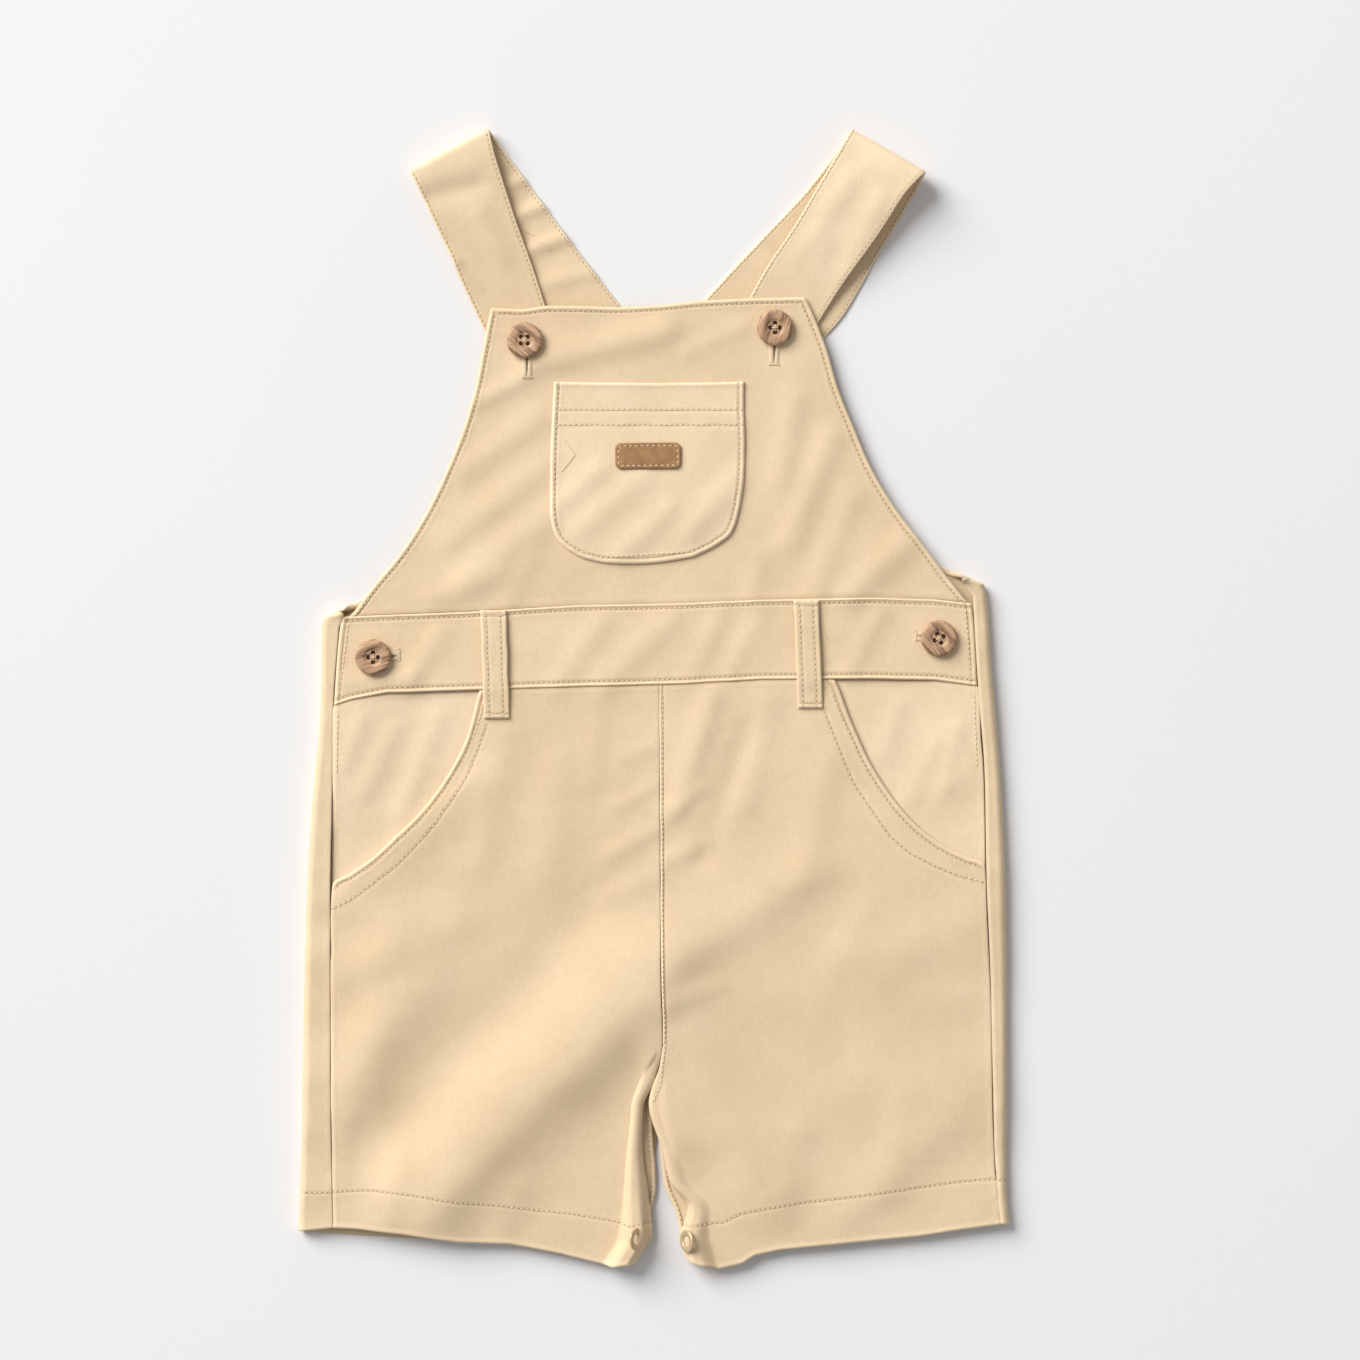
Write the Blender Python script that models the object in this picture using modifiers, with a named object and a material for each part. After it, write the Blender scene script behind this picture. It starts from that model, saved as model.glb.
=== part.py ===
"""Infant shortalls (short dungarees) in cotton twill, lying flat on their back.

+X is to the viewer's right, +Y runs from the hems up to the shoulder straps and
+Z is up off the table. Tables and named sizes are in millimetres, and the
finished objects are in metres.

Each cloth piece is a loft: a table with one row for each section, a grid of
points between the ends of the sections, and a Solidify wall. Every front piece
follows the same height, lie(x, y), so what lies on a panel is made from the
panel's own points, moved out.
"""

import math

import bmesh
import bpy
from mathutils import Vector

MM = 0.001

# ---------------------------------------------------------------- sizes (mm)
CLOTH = 1.0  # wall of one cloth piece
SEAM_GAP = 0.4  # between two pieces that meet at a seam
LAYER_GAP = 0.45  # between a panel and what lies on it
FACING_DROP = CLOTH + LAYER_GAP  # the pocket facing lies this much under the leg
BUTTON_D = 15.0
BUTTON_T = 3.0
BUTTON_RIM = 2.2
BUTTON_DISH = 0.7
BUTTON_HOLE_D = 1.5
BUTTON_HOLE_PITCH = 2.75
SNAP_D = 9.5
SNAP_T = 1.1
SNAP_BORE_D = 4.6
LABEL_W, LABEL_H, LABEL_T, LABEL_R = 27.3, 10.9, 1.0, 2.5
LOOP_T = 1.0
LOOP_LIFT = 0.8
EDGE_REACH = 6.0  # width at the armhole edge that starts to turn over
WRAP_STEPS = 7

# Height of the underside of the front cloth above the table, down the middle.
LIE = {
    "y": (238, 165, 120, 45, 0, -60, -150, -200, -240),
    "z": (3.7, 3.7, 3.8, 4.3, 4.8, 5.2, 5.2, 4.8, 4.4),
}

# Largest folds of the front: crest from (x0, y0) to (x1, y1), its height, and
# its reach on the side away from +X (before) and towards it (after).
FOLDS = (
    # x0, y0, x1, y1, height, before, after
    dict(x0=-2, y0=-118, x1=-88, y1=-206, height=4.8, before=26, after=17),
    dict(x0=-108, y0=-95, x1=-122, y1=-170, height=1.4, before=12, after=12),
    dict(x0=18, y0=-18, x1=46, y1=-92, height=0.8, before=18, after=18),
    dict(x0=96, y0=-150, x1=44, y1=-196, height=0.9, before=24, after=24),
    dict(x0=3, y0=-150, x1=8, y1=-180, height=2.2, before=8, after=26),
)

# Waistband: both long edges, a row for each station across, and how far its
# two ends reach at the top and at the bottom.
WAIST_ENDS = {"top": (-129.4, 132.0), "bottom": (-133.3, 134.6)}
WAIST = {
    "x": (-133.1, -125.8, -111.2, -77.9, -32.9, 10.4, 44.2, 89.2, 117.1, 133.8),
    "top": (33.8, 34.6, 35.2, 36.5, 39.2, 40.0, 41.5, 42.5, 41.7, 39.8),
    "bottom": (-2.9, -0.4, 2.5, 3.5, 5.0, 6.0, 7.9, 8.3, 7.7, 5.4),
}

# Bib, from its top edge down: left end and right end of each section.
BIB = {
    "left_x": (-67.9, -69.6, -71.7, -74.6, -79.6, -86.2, -95.0, -105.8, -116.2, -126.9),
    "left_y": (162.5, 155.0, 144.6, 129.6, 112.9, 96.2, 77.9, 60.8, 48.3, 35.4),
    "right_x": (62.5, 67.5, 71.7, 76.7, 83.3, 90.4, 100.8, 113.8, 122.5, 131.0),
    "right_y": (167.3, 157.1, 146.7, 129.6, 113.3, 96.7, 79.2, 62.1, 50.4, 41.2),
}

# Patch pocket on the bib, from its opening down round the bowl.
BIB_POCKET = {
    "left_x": (-41.7, -42.5, -43.3, -43.3, -42.5, -40.0, -35.0, -29.6, -21.2),
    "left_y": (132.2, 117.1, 92.9, 79.2, 72.1, 66.2, 61.7, 58.8, 56.7),
    "right_x": (37.5, 37.5, 37.9, 37.5, 36.2, 34.6, 32.1, 25.8, 16.7),
    "right_y": (132.2, 120.4, 106.7, 92.9, 82.5, 75.0, 68.8, 63.8, 59.2),
}

# Front legs: down the curved pocket opening and the side seam on one side, and
# down the centre seam and the inside leg on the other.
LEG_LEFT = {
    "left_x": (-72.3, -75.4, -78.8, -84.6, -91.2, -98.8, -107.9, -117.9, -126.7, -133.6, -134.4, -134.4, -134.4, -134.2, -134.2, -134.0, -133.8, -133.6, -133.4),
    "left_y": (2.5, -9.6, -18.8, -29.6, -39.6, -48.8, -57.5, -66.7, -72.7, -77.2, -94.2, -112.9, -133.8, -154.6, -171.2, -187.9, -198.3, -209.0, -220.4),
    "right_x": (1.9, 2.0, 2.1, 2.1, 2.2, 2.3, 2.4, 2.5, 2.5, 2.5, 2.7, 3.1, 3.2, 0.8, -5.0, -5.4, -3.0, -1.0, -7.1),
    "right_y": (5.0, -10.4, -24.2, -37.9, -52.5, -66.2, -79.6, -91.2, -101.2, -109.6, -122.1, -132.9, -144.6, -157.1, -169.6, -184.6, -198.8, -211.0, -234.6),
    # Inside leg: width of the roll that turns down to the edge, the height of
    # its crest and the height of the edge.
    "roll": (0, 0, 0, 0, 0, 0, 0, 0, 0, 0, 0, 0, 2.0, 5.2, 3.6, 4.8, 10.0, 15.0, 14.0),
    "crest": (5, 5, 5, 5, 5, 5, 5, 5, 5, 5, 5, 5, 6.0, 8.0, 8.6, 8.8, 9.2, 9.8, 10.2),
    "edge": (5, 5, 5, 5, 5, 5, 5, 5, 5, 5, 5, 5, 5.0, 4.2, 3.6, 3.4, 3.4, 3.3, 3.3),
}
LEG_RIGHT = {
    "left_x": (2.4, 2.4, 2.5, 2.6, 2.7, 2.8, 2.9, 2.9, 3.0, 3.1, 3.3, 3.8, 3.8, 2.5, -1.7, 3.8, 7.1, 14.6, 10.8, 13.3),
    "left_y": (5.0, -5.8, -17.1, -30.4, -44.2, -57.9, -71.2, -83.8, -95.4, -106.7, -119.2, -133.8, -142.9, -152.9, -168.3, -187.1, -200.0, -208.7, -219.6, -233.8),
    "right_x": (74.4, 79.2, 83.3, 89.2, 95.8, 103.5, 112.5, 122.5, 130.4, 137.6, 138.5, 139.6, 140.4, 140.6, 140.8, 141.5, 141.9, 142.7, 143.3, 144.2),
    "right_y": (8.5, -4.2, -12.9, -25.4, -36.2, -46.5, -55.4, -62.1, -65.8, -69.0, -92.1, -112.9, -133.8, -154.6, -171.2, -187.9, -198.3, -205.4, -211.2, -218.8),
    "roll": (0, 0, 0, 0, 0, 0, 0, 0, 0, 0, 0, 0, 0, 0, 3.0, 4.0, 5.0, 5.0, 8.0, 9.0),
    "crest": (5, 5, 5, 5, 5, 5, 5, 5, 5, 5, 5, 5, 5, 6.0, 7.2, 7.4, 7.0, 6.6, 7.6, 8.6),
    "edge": (5, 5, 5, 5, 5, 5, 5, 5, 5, 5, 5, 5, 5, 5.6, 5.6, 5.0, 4.0, 3.6, 3.3, 3.3),
}
ROLL_FOOT = 7.0  # how far beyond its crest a roll runs out into the panel
# Folded edge of each front hem, from left to right.
HEM_LEFT = {
    "x": (-133.4, -123.9, -102.5, -81.0, -60.0, -38.8, -28.3, -17.5, -7.1),
    "y": (-220.4, -220.8, -223.1, -226.2, -227.1, -231.2, -233.8, -236.5, -234.8),
}
HEM_RIGHT = {
    "x": (13.3, 18.8, 27.1, 36.7, 42.1, 52.5, 68.8, 90.0, 111.2, 127.1, 144.2),
    "y": (-233.5, -235.8, -237.5, -235.4, -231.9, -229.6, -227.9, -225.8, -223.8, -221.2, -218.9),
}

# Hip facing seen inside each curved opening, from the waistband down.
FACING_LEFT = {
    "left_x": (-133.0, -133.3, -133.3, -133.4, -133.6, -133.8, -134.0),
    "left_y": (-3.3, -12.9, -23.3, -35.8, -48.3, -60.8, -72.1),
    "right_x": (-71.7, -75.0, -79.2, -85.0, -93.3, -105.8, -119.2),
    "right_y": (2.9, -9.6, -19.6, -30.0, -42.1, -55.8, -67.5),
}
FACING_RIGHT = {
    "left_x": (74.4, 78.8, 82.9, 88.8, 95.8, 104.6, 115.8),
    "left_y": (8.5, -4.2, -12.9, -25.4, -36.2, -47.5, -57.9),
    "right_x": (134.6, 135.4, 135.6, 136.7, 137.2, 137.5, 137.7),
    "right_y": (4.8, -6.7, -17.9, -29.6, -40.0, -51.2, -60.8),
}
FACING_UNDER = 9.0  # how far the facing runs under the leg's folded edge

# Backs, from the strap seam down: centre-back end, outer end, and the side
# seam that the cloth reaches on the front after it turns over the side fold
# (None along the armhole, where it doesn't turn).
BACK_LEFT = (
    # centre x, y, outer x, y, seam x, y
    (2.9, 145.0, -57.9, 144.6, None, None),
    (2.6, 126.7, -52.9, 126.7, None, None),
    (2.5, 107.9, -51.7, 107.9, None, None),
    (2.5, 87.1, -60.0, 87.1, None, None),
    (2.5, 68.3, -78.8, 68.3, None, None),
    (2.5, 52.9, -103.8, 51.7, None, None),
    (2.5, 41.2, -124.2, 40.0, None, None),
    (2.5, 24.6, -138.5, 32.5, -131.4, 29.6),
    (2.5, 3.8, -139.0, -0.4, -133.7, -3.3),
    (2.5, -42.1, -142.5, -42.1, -134.2, -42.1),
    (2.5, -83.8, -145.0, -83.8, -134.9, -83.8),
    (2.5, -125.4, -146.0, -125.4, -134.9, -125.4),
    (2.1, -162.9, -146.7, -162.9, -134.7, -162.9),
    (0.8, -187.9, -147.1, -187.9, -134.5, -187.9),
    (-2.6, -206.7, -147.7, -206.7, -134.1, -206.7),
    (-9.2, -231.0, -148.3, -222.5, -133.8, -220.4),
)
BACK_RIGHT = (
    (3.3, 145.0, 65.4, 144.6, None, None),
    (3.0, 126.7, 60.4, 126.7, None, None),
    (2.9, 107.9, 62.1, 107.9, None, None),
    (2.9, 87.1, 71.7, 87.1, None, None),
    (2.9, 70.4, 86.7, 71.2, None, None),
    (2.9, 57.9, 104.6, 61.2, None, None),
    (2.9, 47.5, 124.0, 53.3, None, None),
    (2.9, 32.9, 138.1, 47.1, 133.0, 42.9),
    (2.9, 7.9, 141.2, 11.2, 135.2, 5.0),
    (2.9, -33.8, 144.6, -33.8, 138.0, -33.8),
    (2.9, -75.4, 146.5, -78.8, 138.7, -75.4),
    (2.9, -117.1, 147.1, -117.1, 140.4, -117.1),
    (3.1, -158.8, 147.1, -158.8, 141.3, -158.8),
    (3.9, -187.9, 146.9, -187.9, 142.0, -187.9),
    (7.0, -206.7, 147.1, -202.5, 143.4, -204.6),
    (14.6, -231.5, 148.3, -218.8, 144.6, -218.8),
)

# Shoulder straps: the run in front, from its button end up to the fold, then
# the run behind, down to the back. z is the side of the cloth inside the fold.
STRAP_LEFT = {
    "left_x": (-64.2, -69.6, -77.5, -86.2, -93.3, -98.6, -101.3, -101.9, -99.6, -89.2, -76.7, -66.5, -57.9),
    "left_y": (137.9, 150.8, 167.5, 187.1, 202.1, 213.3, 218.6, 219.4, 215.6, 198.8, 178.3, 161.4, 145.7),
    "right_x": (-38.3, -42.5, -50.4, -58.3, -63.3, -66.9, -68.4, -68.5, -66.2, -50.4, -30.0, -13.4, 2.1),
    "right_y": (145.4, 155.8, 179.6, 201.7, 217.1, 229.0, 236.0, 237.1, 233.9, 212.1, 184.6, 163.6, 146.9),
    "z": (1.6, 1.6, 2.4, 3.4, 4.4, 5.4, 4.9, 3.2, 1.4, 1.0, 1.0, 1.0, 1.0),
}
STRAP_RIGHT = {
    "left_x": (32.5, 37.1, 46.2, 58.8, 71.0, 79.6, 81.5, 81.7, 79.4, 63.5, 46.9, 30.4, 4.2),
    "left_y": (154.2, 162.1, 178.8, 197.5, 218.0, 232.4, 236.0, 236.9, 233.0, 212.0, 194.2, 176.7, 147.5),
    "right_x": (60.0, 66.2, 78.1, 93.3, 104.8, 110.6, 112.4, 112.8, 110.6, 101.2, 93.3, 78.1, 65.4),
    "right_y": (143.8, 153.3, 172.1, 193.3, 210.5, 216.6, 218.0, 218.6, 214.0, 197.9, 184.8, 158.8, 145.4),
    "z": (1.6, 1.6, 3.0, 5.4, 8.0, 9.2, 7.6, 4.4, 1.5, 1.0, 1.0, 1.0, 1.0),
}

# Snap bands of the inside legs, from the crotch down to the hems.
BAND_LEFT = {
    "left_x": (-8.3, -10.0, -10.8, -10.0, -10.0, -13.8, -17.4),
    "left_y": (-162.1, -171.2, -183.8, -196.2, -204.6, -217.9, -231.6),
    "right_x": (-1.7, -0.8, -0.4, 0.6, 0.8, -2.9, -8.2),
    "right_y": (-165.4, -172.1, -184.6, -195.4, -204.2, -217.9, -232.4),
    "z": (2.0, 1.9, 1.7, 1.5, 1.5, 1.5, 1.5),
}
BAND_RIGHT = {
    "left_x": (1.0, 1.7, 3.1, 4.4, 8.8, 11.2, 14.0),
    "left_y": (-169.6, -181.7, -194.2, -202.9, -213.8, -223.8, -232.6),
    "right_x": (10.8, 15.0, 17.9, 20.8, 24.2, 25.8, 28.3),
    "right_y": (-167.1, -180.4, -192.9, -202.9, -214.6, -224.6, -232.8),
    "z": (1.9, 1.7, 1.5, 1.5, 1.5, 1.5, 1.5),
}

# Belt loops: centre line at the top and at the bottom.
LOOPS = {
    "belt_loop_left": dict(top=(-66.9, 37.0), foot=(-65.4, -8.2), width=10.6),
    "belt_loop_right": dict(top=(63.3, 41.2), foot=(65.1, -3.9), width=10.4),
}

# Buttons: centre, the turn of the four holes and which layer they sit on.
BUTTONS = {
    "button_bib_left": dict(x=-53.8, y=149.2, turn=0),
    "button_bib_right": dict(x=50.4, y=154.6, turn=45),
    "button_side_left": dict(x=-116.8, y=17.3, turn=45),
    "button_side_right": dict(x=118.6, y=25.2, turn=-20),
}

# Snaps of the inside legs: centre as seen from above, size and the cloth that
# carries them.
SNAPS = {
    "snap_hem_left": dict(x=-8.2, y=-224.4, d=SNAP_D, on="front_leg_left"),
    "snap_crotch": dict(x=2.4, y=-176.4, d=6.4, on="snap_band_right"),
    "snap_hem_right": dict(x=14.6, y=-225.4, d=SNAP_D, on="front_leg_right"),
}

# Colours, linear: washed cotton, natural wood, vegetable tan and painted metal.
TWILL = (0.77, 0.605, 0.402, 1)
WOOD = (0.46, 0.265, 0.15, 1)
LEATHER = (0.52, 0.29, 0.12, 1)
METAL = (0.60, 0.46, 0.28, 1)


# ------------------------------------------------------------------- helpers
def slope(a, b, c):
    """Tangent at b that never lets the curve pass its rows' own values."""
    before, after = b - a, c - b
    return 2 * before * after / (before + after) if before * after > 0 else 0.0


def along(column, u):
    """Smooth value of a table's column at u, from 0 at its first row to 1 at its last."""
    n = len(column) - 1
    k = min(int(u * n), n - 1)
    t = u * n - k
    b, c = column[k], column[k + 1]
    m0 = slope(column[k - 1], b, c) if k else c - b
    m1 = slope(b, c, column[k + 2]) if k + 2 <= n else c - b
    return (
        b * (2 * t**3 - 3 * t**2 + 1)
        + m0 * (t**3 - 2 * t**2 + t)
        + c * (3 * t**2 - 2 * t**3)
        + m1 * (t**3 - t**2)
    )


def at(xs, ys, x):
    """Straight interpolation in a table whose first column rises or falls."""
    if xs[0] > xs[-1]:
        xs, ys = xs[::-1], ys[::-1]
    if x <= xs[0]:
        return ys[0]
    for x0, x1, y0, y1 in zip(xs, xs[1:], ys, ys[1:]):
        if x <= x1:
            t = (x - x0) / (x1 - x0)
            return y0 + (y1 - y0) * t * t * (3 - 2 * t)
    return ys[-1]


def linear_at(xs, ys, x):
    if x <= xs[0]:
        return ys[0]
    for x0, x1, y0, y1 in zip(xs, xs[1:], ys, ys[1:]):
        if x <= x1:
            return y0 + (y1 - y0) * (x - x0) / (x1 - x0)
    return ys[-1]


def ease(t):
    t = max(0.0, min(1.0, t))
    return t * t * (3 - 2 * t)


def fold_height(fold, x, y):
    dx, dy = fold["x1"] - fold["x0"], fold["y1"] - fold["y0"]
    length = math.hypot(dx, dy)
    px, py = x - fold["x0"], y - fold["y0"]
    s = (px * dx + py * dy) / length
    off = (py * dx - px * dy) / length
    reach = fold["after"] if off > 0 else fold["before"]
    past = max(0.0, -s, s - length) * 2 / (fold["before"] + fold["after"])
    return fold["height"] * math.exp(-((off / reach) ** 2) - past**2)


def lie(x, y):
    """Underside of the front cloth above the table at (x, y)."""
    z = at(LIE["y"], LIE["z"], y)
    return z + sum(fold_height(fold, x, y) for fold in FOLDS)


def waist_top(x):
    return linear_at(WAIST["x"], WAIST["top"], x)


def waist_bottom(x):
    return linear_at(WAIST["x"], WAIST["bottom"], x)


def material(name, colour, roughness, metallic=0.0):
    made = bpy.data.materials.new(name)
    made.use_nodes = True
    shader = made.node_tree.nodes["Principled BSDF"]
    shader.inputs["Base Color"].default_value = colour
    shader.inputs["Roughness"].default_value = roughness
    shader.inputs["Metallic"].default_value = metallic
    return made


def add_object(name, bm, finish, collection):
    mesh = bpy.data.meshes.new(name)
    bm.to_mesh(mesh)
    bm.free()
    obj = bpy.data.objects.new(name, mesh)
    collection.objects.link(obj)
    colour, roughness, metallic = finish
    mesh.materials.append(material(name, colour, roughness, metallic))
    return obj


def cloth(name, rows, collection, wall=CLOTH, inward=False, even=True):
    """A wall of cloth on a grid of points (mm). The wall grows to the left-hand
    side of rows x columns, or the other way where inward is set."""
    bm = bmesh.new()
    grid = [[bm.verts.new(Vector(p) * MM) for p in row] for row in rows]
    for upper, lower in zip(grid, grid[1:]):
        for k in range(len(upper) - 1):
            bm.faces.new((upper[k], lower[k], lower[k + 1], upper[k + 1]))
    obj = add_object(name, bm, (TWILL, 0.9, 0.0), collection)
    solid = obj.modifiers.new("wall", "SOLIDIFY")
    solid.thickness = wall * MM
    solid.offset = -1 if inward else 1
    solid.use_even_offset = even
    solid.use_rim = True
    return obj


def fractions(count, dense_end=0.0):
    """count + 1 fractions from 0 to 1, closer together near 1 as dense_end grows
    and near 0 as it falls under nothing."""
    even = [k / count for k in range(count + 1)]
    if dense_end < 0:
        return [(1 + dense_end) * f - dense_end * f * f for f in even]
    return [(1 - dense_end) * f + dense_end * (1 - (1 - f) ** 2) for f in even]


def rolled(z, d, width, crest, low):
    """Height at distance d from the edge of a panel that rolls down to it."""
    if d < width:
        return low + (crest - low) * (1 - (1 - d / width) ** 3)
    return crest + (z - crest) * ease((d - width) / ROLL_FOOT)


def panel_points(table, sections, across, lift=0.0, dense_end=0.0, bend=None):
    """Points of a panel between the ends of a table's rows, on the lie of the front."""
    rows = []
    for i in range(sections + 1):
        u = i / sections
        x0, y0 = along(table["left_x"], u), along(table["left_y"], u)
        x1, y1 = along(table["right_x"], u), along(table["right_y"], u)
        row = []
        for f in fractions(across, dense_end):
            x, y = x0 + (x1 - x0) * f, y0 + (y1 - y0) * f
            if bend:
                x, y = bend(x, y, u, f)
            z = at(table_u(table), table["z"], u) if "z" in table else lie(x, y) + lift
            row.append((x, y, z))
        rows.append(row)
    return rows


def table_u(table):
    count = len(table["z"]) - 1
    return [k / count for k in range(count + 1)]


# -------------------------------------------------------------------- pieces
def make_backs(collection):
    """Each back lies on the table and turns over its side fold to the side seam."""
    for name, table, side in (
        ("back_left", BACK_LEFT, -1),
        ("back_right", BACK_RIGHT, 1),
    ):
        columns = list(zip(*[row[:4] for row in table]))
        seams = [row[4:] for row in table if row[4] is not None]
        seam_x, seam_y = zip(*seams)
        last = len(table) - 1
        first = len(table) - len(seams)
        places = [k + h for k in range(last) for h in (0.0, 0.5)] + [last]
        places = [p for p in places if not first - 1 < p < first]
        places = sorted(places + [first - 0.75, first - 0.5, first - 0.25])
        rows = []
        for place in places:
            cx, cy, ox, oy = (along(column, place / last) for column in columns)
            turned = ease(place - first + 1)
            v = max(0.0, place - first) / (last - first)
            sx, sy = along(seam_x, v), along(seam_y, v)
            radius = 0.5 * (lie(sx, sy) + CLOTH)
            reach = abs(ox - side * radius - sx)
            if place < first:
                reach = EDGE_REACH
                sy = oy
            reach = radius * math.pi * turned + max(
                1.0, reach * abs(math.cos(math.pi * turned))
            )
            start = ox - side * (reach * (1 - turned) + radius * turned)
            row = [
                (cx + (start - cx) * k / 8, cy + (oy - cy) * k / 8, 0.0)
                for k in range(9)
            ]
            end = math.pi * turned
            for k in range(1, WRAP_STEPS + 3):
                s = reach * k / (WRAP_STEPS + 2)
                angle = min(s / radius, end)
                past = s - angle * radius
                row.append(
                    (
                        start + side * (radius * math.sin(angle) + past * math.cos(angle)),
                        oy + (sy - oy) * k / (WRAP_STEPS + 2),
                        radius * (1 - math.cos(angle)) + past * math.sin(angle),
                    )
                )
            rows.append(row[::-1] if side > 0 else row)
        cloth(name, rows, collection, inward=True, even=False)


def make_front(collection):
    def leg_bend(hem):
        def bend(x, y, u, f):
            y += (1 - u) ** 30 * (waist_bottom(x) - SEAM_GAP - y)
            y += u**40 * (linear_at(hem["x"], hem["y"], x) - y)
            return x, y

        return bend

    def bib_bend(x, y, u, f):
        return x, y + u**40 * (waist_top(x) + SEAM_GAP - y)

    carriers = {}
    for name, table, hem, edge in (
        ("front_leg_left", LEG_LEFT, HEM_LEFT, -1),
        ("front_leg_right", LEG_RIGHT, HEM_RIGHT, 0),
    ):
        count = len(table["left_x"]) - 1
        rows = panel_points(
            table, count, 13, dense_end=0.6 if edge else -0.6, bend=leg_bend(hem)
        )
        rolls = zip(rows, table["roll"], table["crest"], table["edge"])
        for row, width, crest, low in rolls:
            if width:
                foot = [abs(x - row[edge][0]) for x, _, _ in row]
                row[:] = [
                    (x, y, rolled(z, d, width, crest, low))
                    for (x, y, z), d in zip(row, foot)
                ]
        cloth(name, rows, collection)
        carriers[name] = rows

    cloth("bib_front", panel_points(BIB, 13, 12, bend=bib_bend), collection)

    stations = 24
    band = []
    for k in range(4):
        f = k / 3
        row = []
        for i in range(stations + 1):
            x0, x1 = (
                a + (b - a) * math.sqrt(f)
                for a, b in zip(WAIST_ENDS["top"], WAIST_ENDS["bottom"])
            )
            x = x0 + (x1 - x0) * i / stations
            y = waist_top(x) + (waist_bottom(x) - waist_top(x)) * f
            row.append((x, y, lie(x, y)))
        band.append(row)
    cloth("waistband_front", band, collection)
    return carriers


def make_facings(collection):
    """Hip facings dip under the folded edge of the pocket opening."""
    for name, table, side in (
        ("pocket_facing_left", FACING_LEFT, 1),
        ("pocket_facing_right", FACING_RIGHT, -1),
    ):
        wide = dict(table)
        edge = "right_x" if side > 0 else "left_x"
        wide[edge] = [x + side * FACING_UNDER for x in table[edge]]

        def bend(x, y, u, f):
            y += (1 - u) ** 4 * (waist_bottom(x) - SEAM_GAP - y)
            return x, y

        for edge in ("left_y", "right_y"):
            wide[edge] = table[edge][:-1] + (table[edge][-1] - FACING_UNDER,)
        rows = panel_points(wide, 10, 7, bend=bend)
        for i, row in enumerate(rows):
            count = len(row) - 1
            under = ease((i / 10 - 0.45) / 0.4)
            for j, (x, y, z) in enumerate(row):
                f = j / count if side > 0 else 1 - j / count
                dip = max(ease(f / 0.55), under)
                row[j] = (x, y, z - FACING_DROP * 1.06 * dip)
        cloth(name, rows, collection)


def make_bib_pocket(collection):
    rows = panel_points(BIB_POCKET, 11, 8, lift=CLOTH + LAYER_GAP)
    cloth("bib_pocket", rows, collection)


def make_label(collection):
    """A rounded leather tab on the patch pocket, bare."""
    bm = bmesh.new()
    corners = 5
    outline = []
    for cx, cy, start in ((1, 1, 0), (-1, 1, 90), (-1, -1, 180), (1, -1, 270)):
        for k in range(corners + 1):
            angle = math.radians(start + 90 * k / corners)
            outline.append(
                (
                    cx * (LABEL_W / 2 - LABEL_R) + LABEL_R * math.cos(angle),
                    cy * (LABEL_H / 2 - LABEL_R) + LABEL_R * math.sin(angle),
                )
            )
    x0, y0 = -2.5, 101.25
    z0 = lie(x0, y0) + 2 * (CLOTH + LAYER_GAP) + 0.1
    bm.faces.new([bm.verts.new(Vector((x * MM, y * MM, 0))) for x, y in outline])
    obj = add_object("label", bm, (LEATHER, 0.6, 0.0), collection)
    obj.location = Vector((x0, y0, z0)) * MM
    solid = obj.modifiers.new("wall", "SOLIDIFY")
    solid.thickness = LABEL_T * MM
    solid.offset = 1


def make_loops(collection):
    """A loop stands off the waistband between its two sewn ends."""
    for name, loop in LOOPS.items():
        (tx, ty), (fx, fy) = loop["top"], loop["foot"]
        rows = []
        count = 9
        for i in range(count + 1):
            u = i / count
            y = ty + (fy - ty) * u
            x = tx + (fx - tx) * u
            rise = LOOP_LIFT * math.sin(math.pi * u)
            base = max(lie(x + d, y) for d in (-5.3, 0.0, 5.3))
            z = base + CLOTH + LAYER_GAP + rise
            half = loop["width"] / 2
            rows.append([(x - half, y, z), (x, y, z), (x + half, y, z)])
        cloth(name, rows, collection, wall=LOOP_T)


def make_straps(collection):
    for name, table, turn in (
        ("strap_left", STRAP_LEFT, 1),
        ("strap_right", STRAP_RIGHT, 1),
    ):
        sections = 34
        rows = []
        for i in range(sections + 1):
            u = i / sections
            x0, y0 = along(table["left_x"], u), along(table["left_y"], u)
            x1, y1 = along(table["right_x"], u), along(table["right_y"], u)
            z = max(1.0, along(table["z"], u))
            row = []
            for k in range(4):
                f = k / 3
                row.append((x0 + (x1 - x0) * f, y0 + (y1 - y0) * f, z))
            rows.append(row)
        cloth(name, rows[::-1], collection, even=False)


def make_bands(collection, carriers):
    for name, table in (
        ("snap_band_left", BAND_LEFT),
        ("snap_band_right", BAND_RIGHT),
    ):
        carriers[name] = panel_points(table, 8, 3)
        cloth(name, carriers[name], collection)


def lathe(profile, steps):
    """A closed solid turned about Z from (radius, height) pairs in mm."""
    bm = bmesh.new()
    verts = [bm.verts.new((r * MM, 0, z * MM)) for r, z in profile]
    edges = [bm.edges.new(pair) for pair in zip(verts, verts[1:])]
    if profile[0][0] > 0:
        edges.append(bm.edges.new((verts[-1], verts[0])))
    bmesh.ops.spin(
        bm,
        geom=verts + edges,
        axis=(0, 0, 1),
        cent=(0, 0, 0),
        angle=math.tau,
        steps=steps,
        use_merge=True,
    )
    bmesh.ops.remove_doubles(bm, verts=bm.verts, dist=1e-6)
    bmesh.ops.recalc_face_normals(bm, faces=bm.faces)
    return bm


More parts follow.
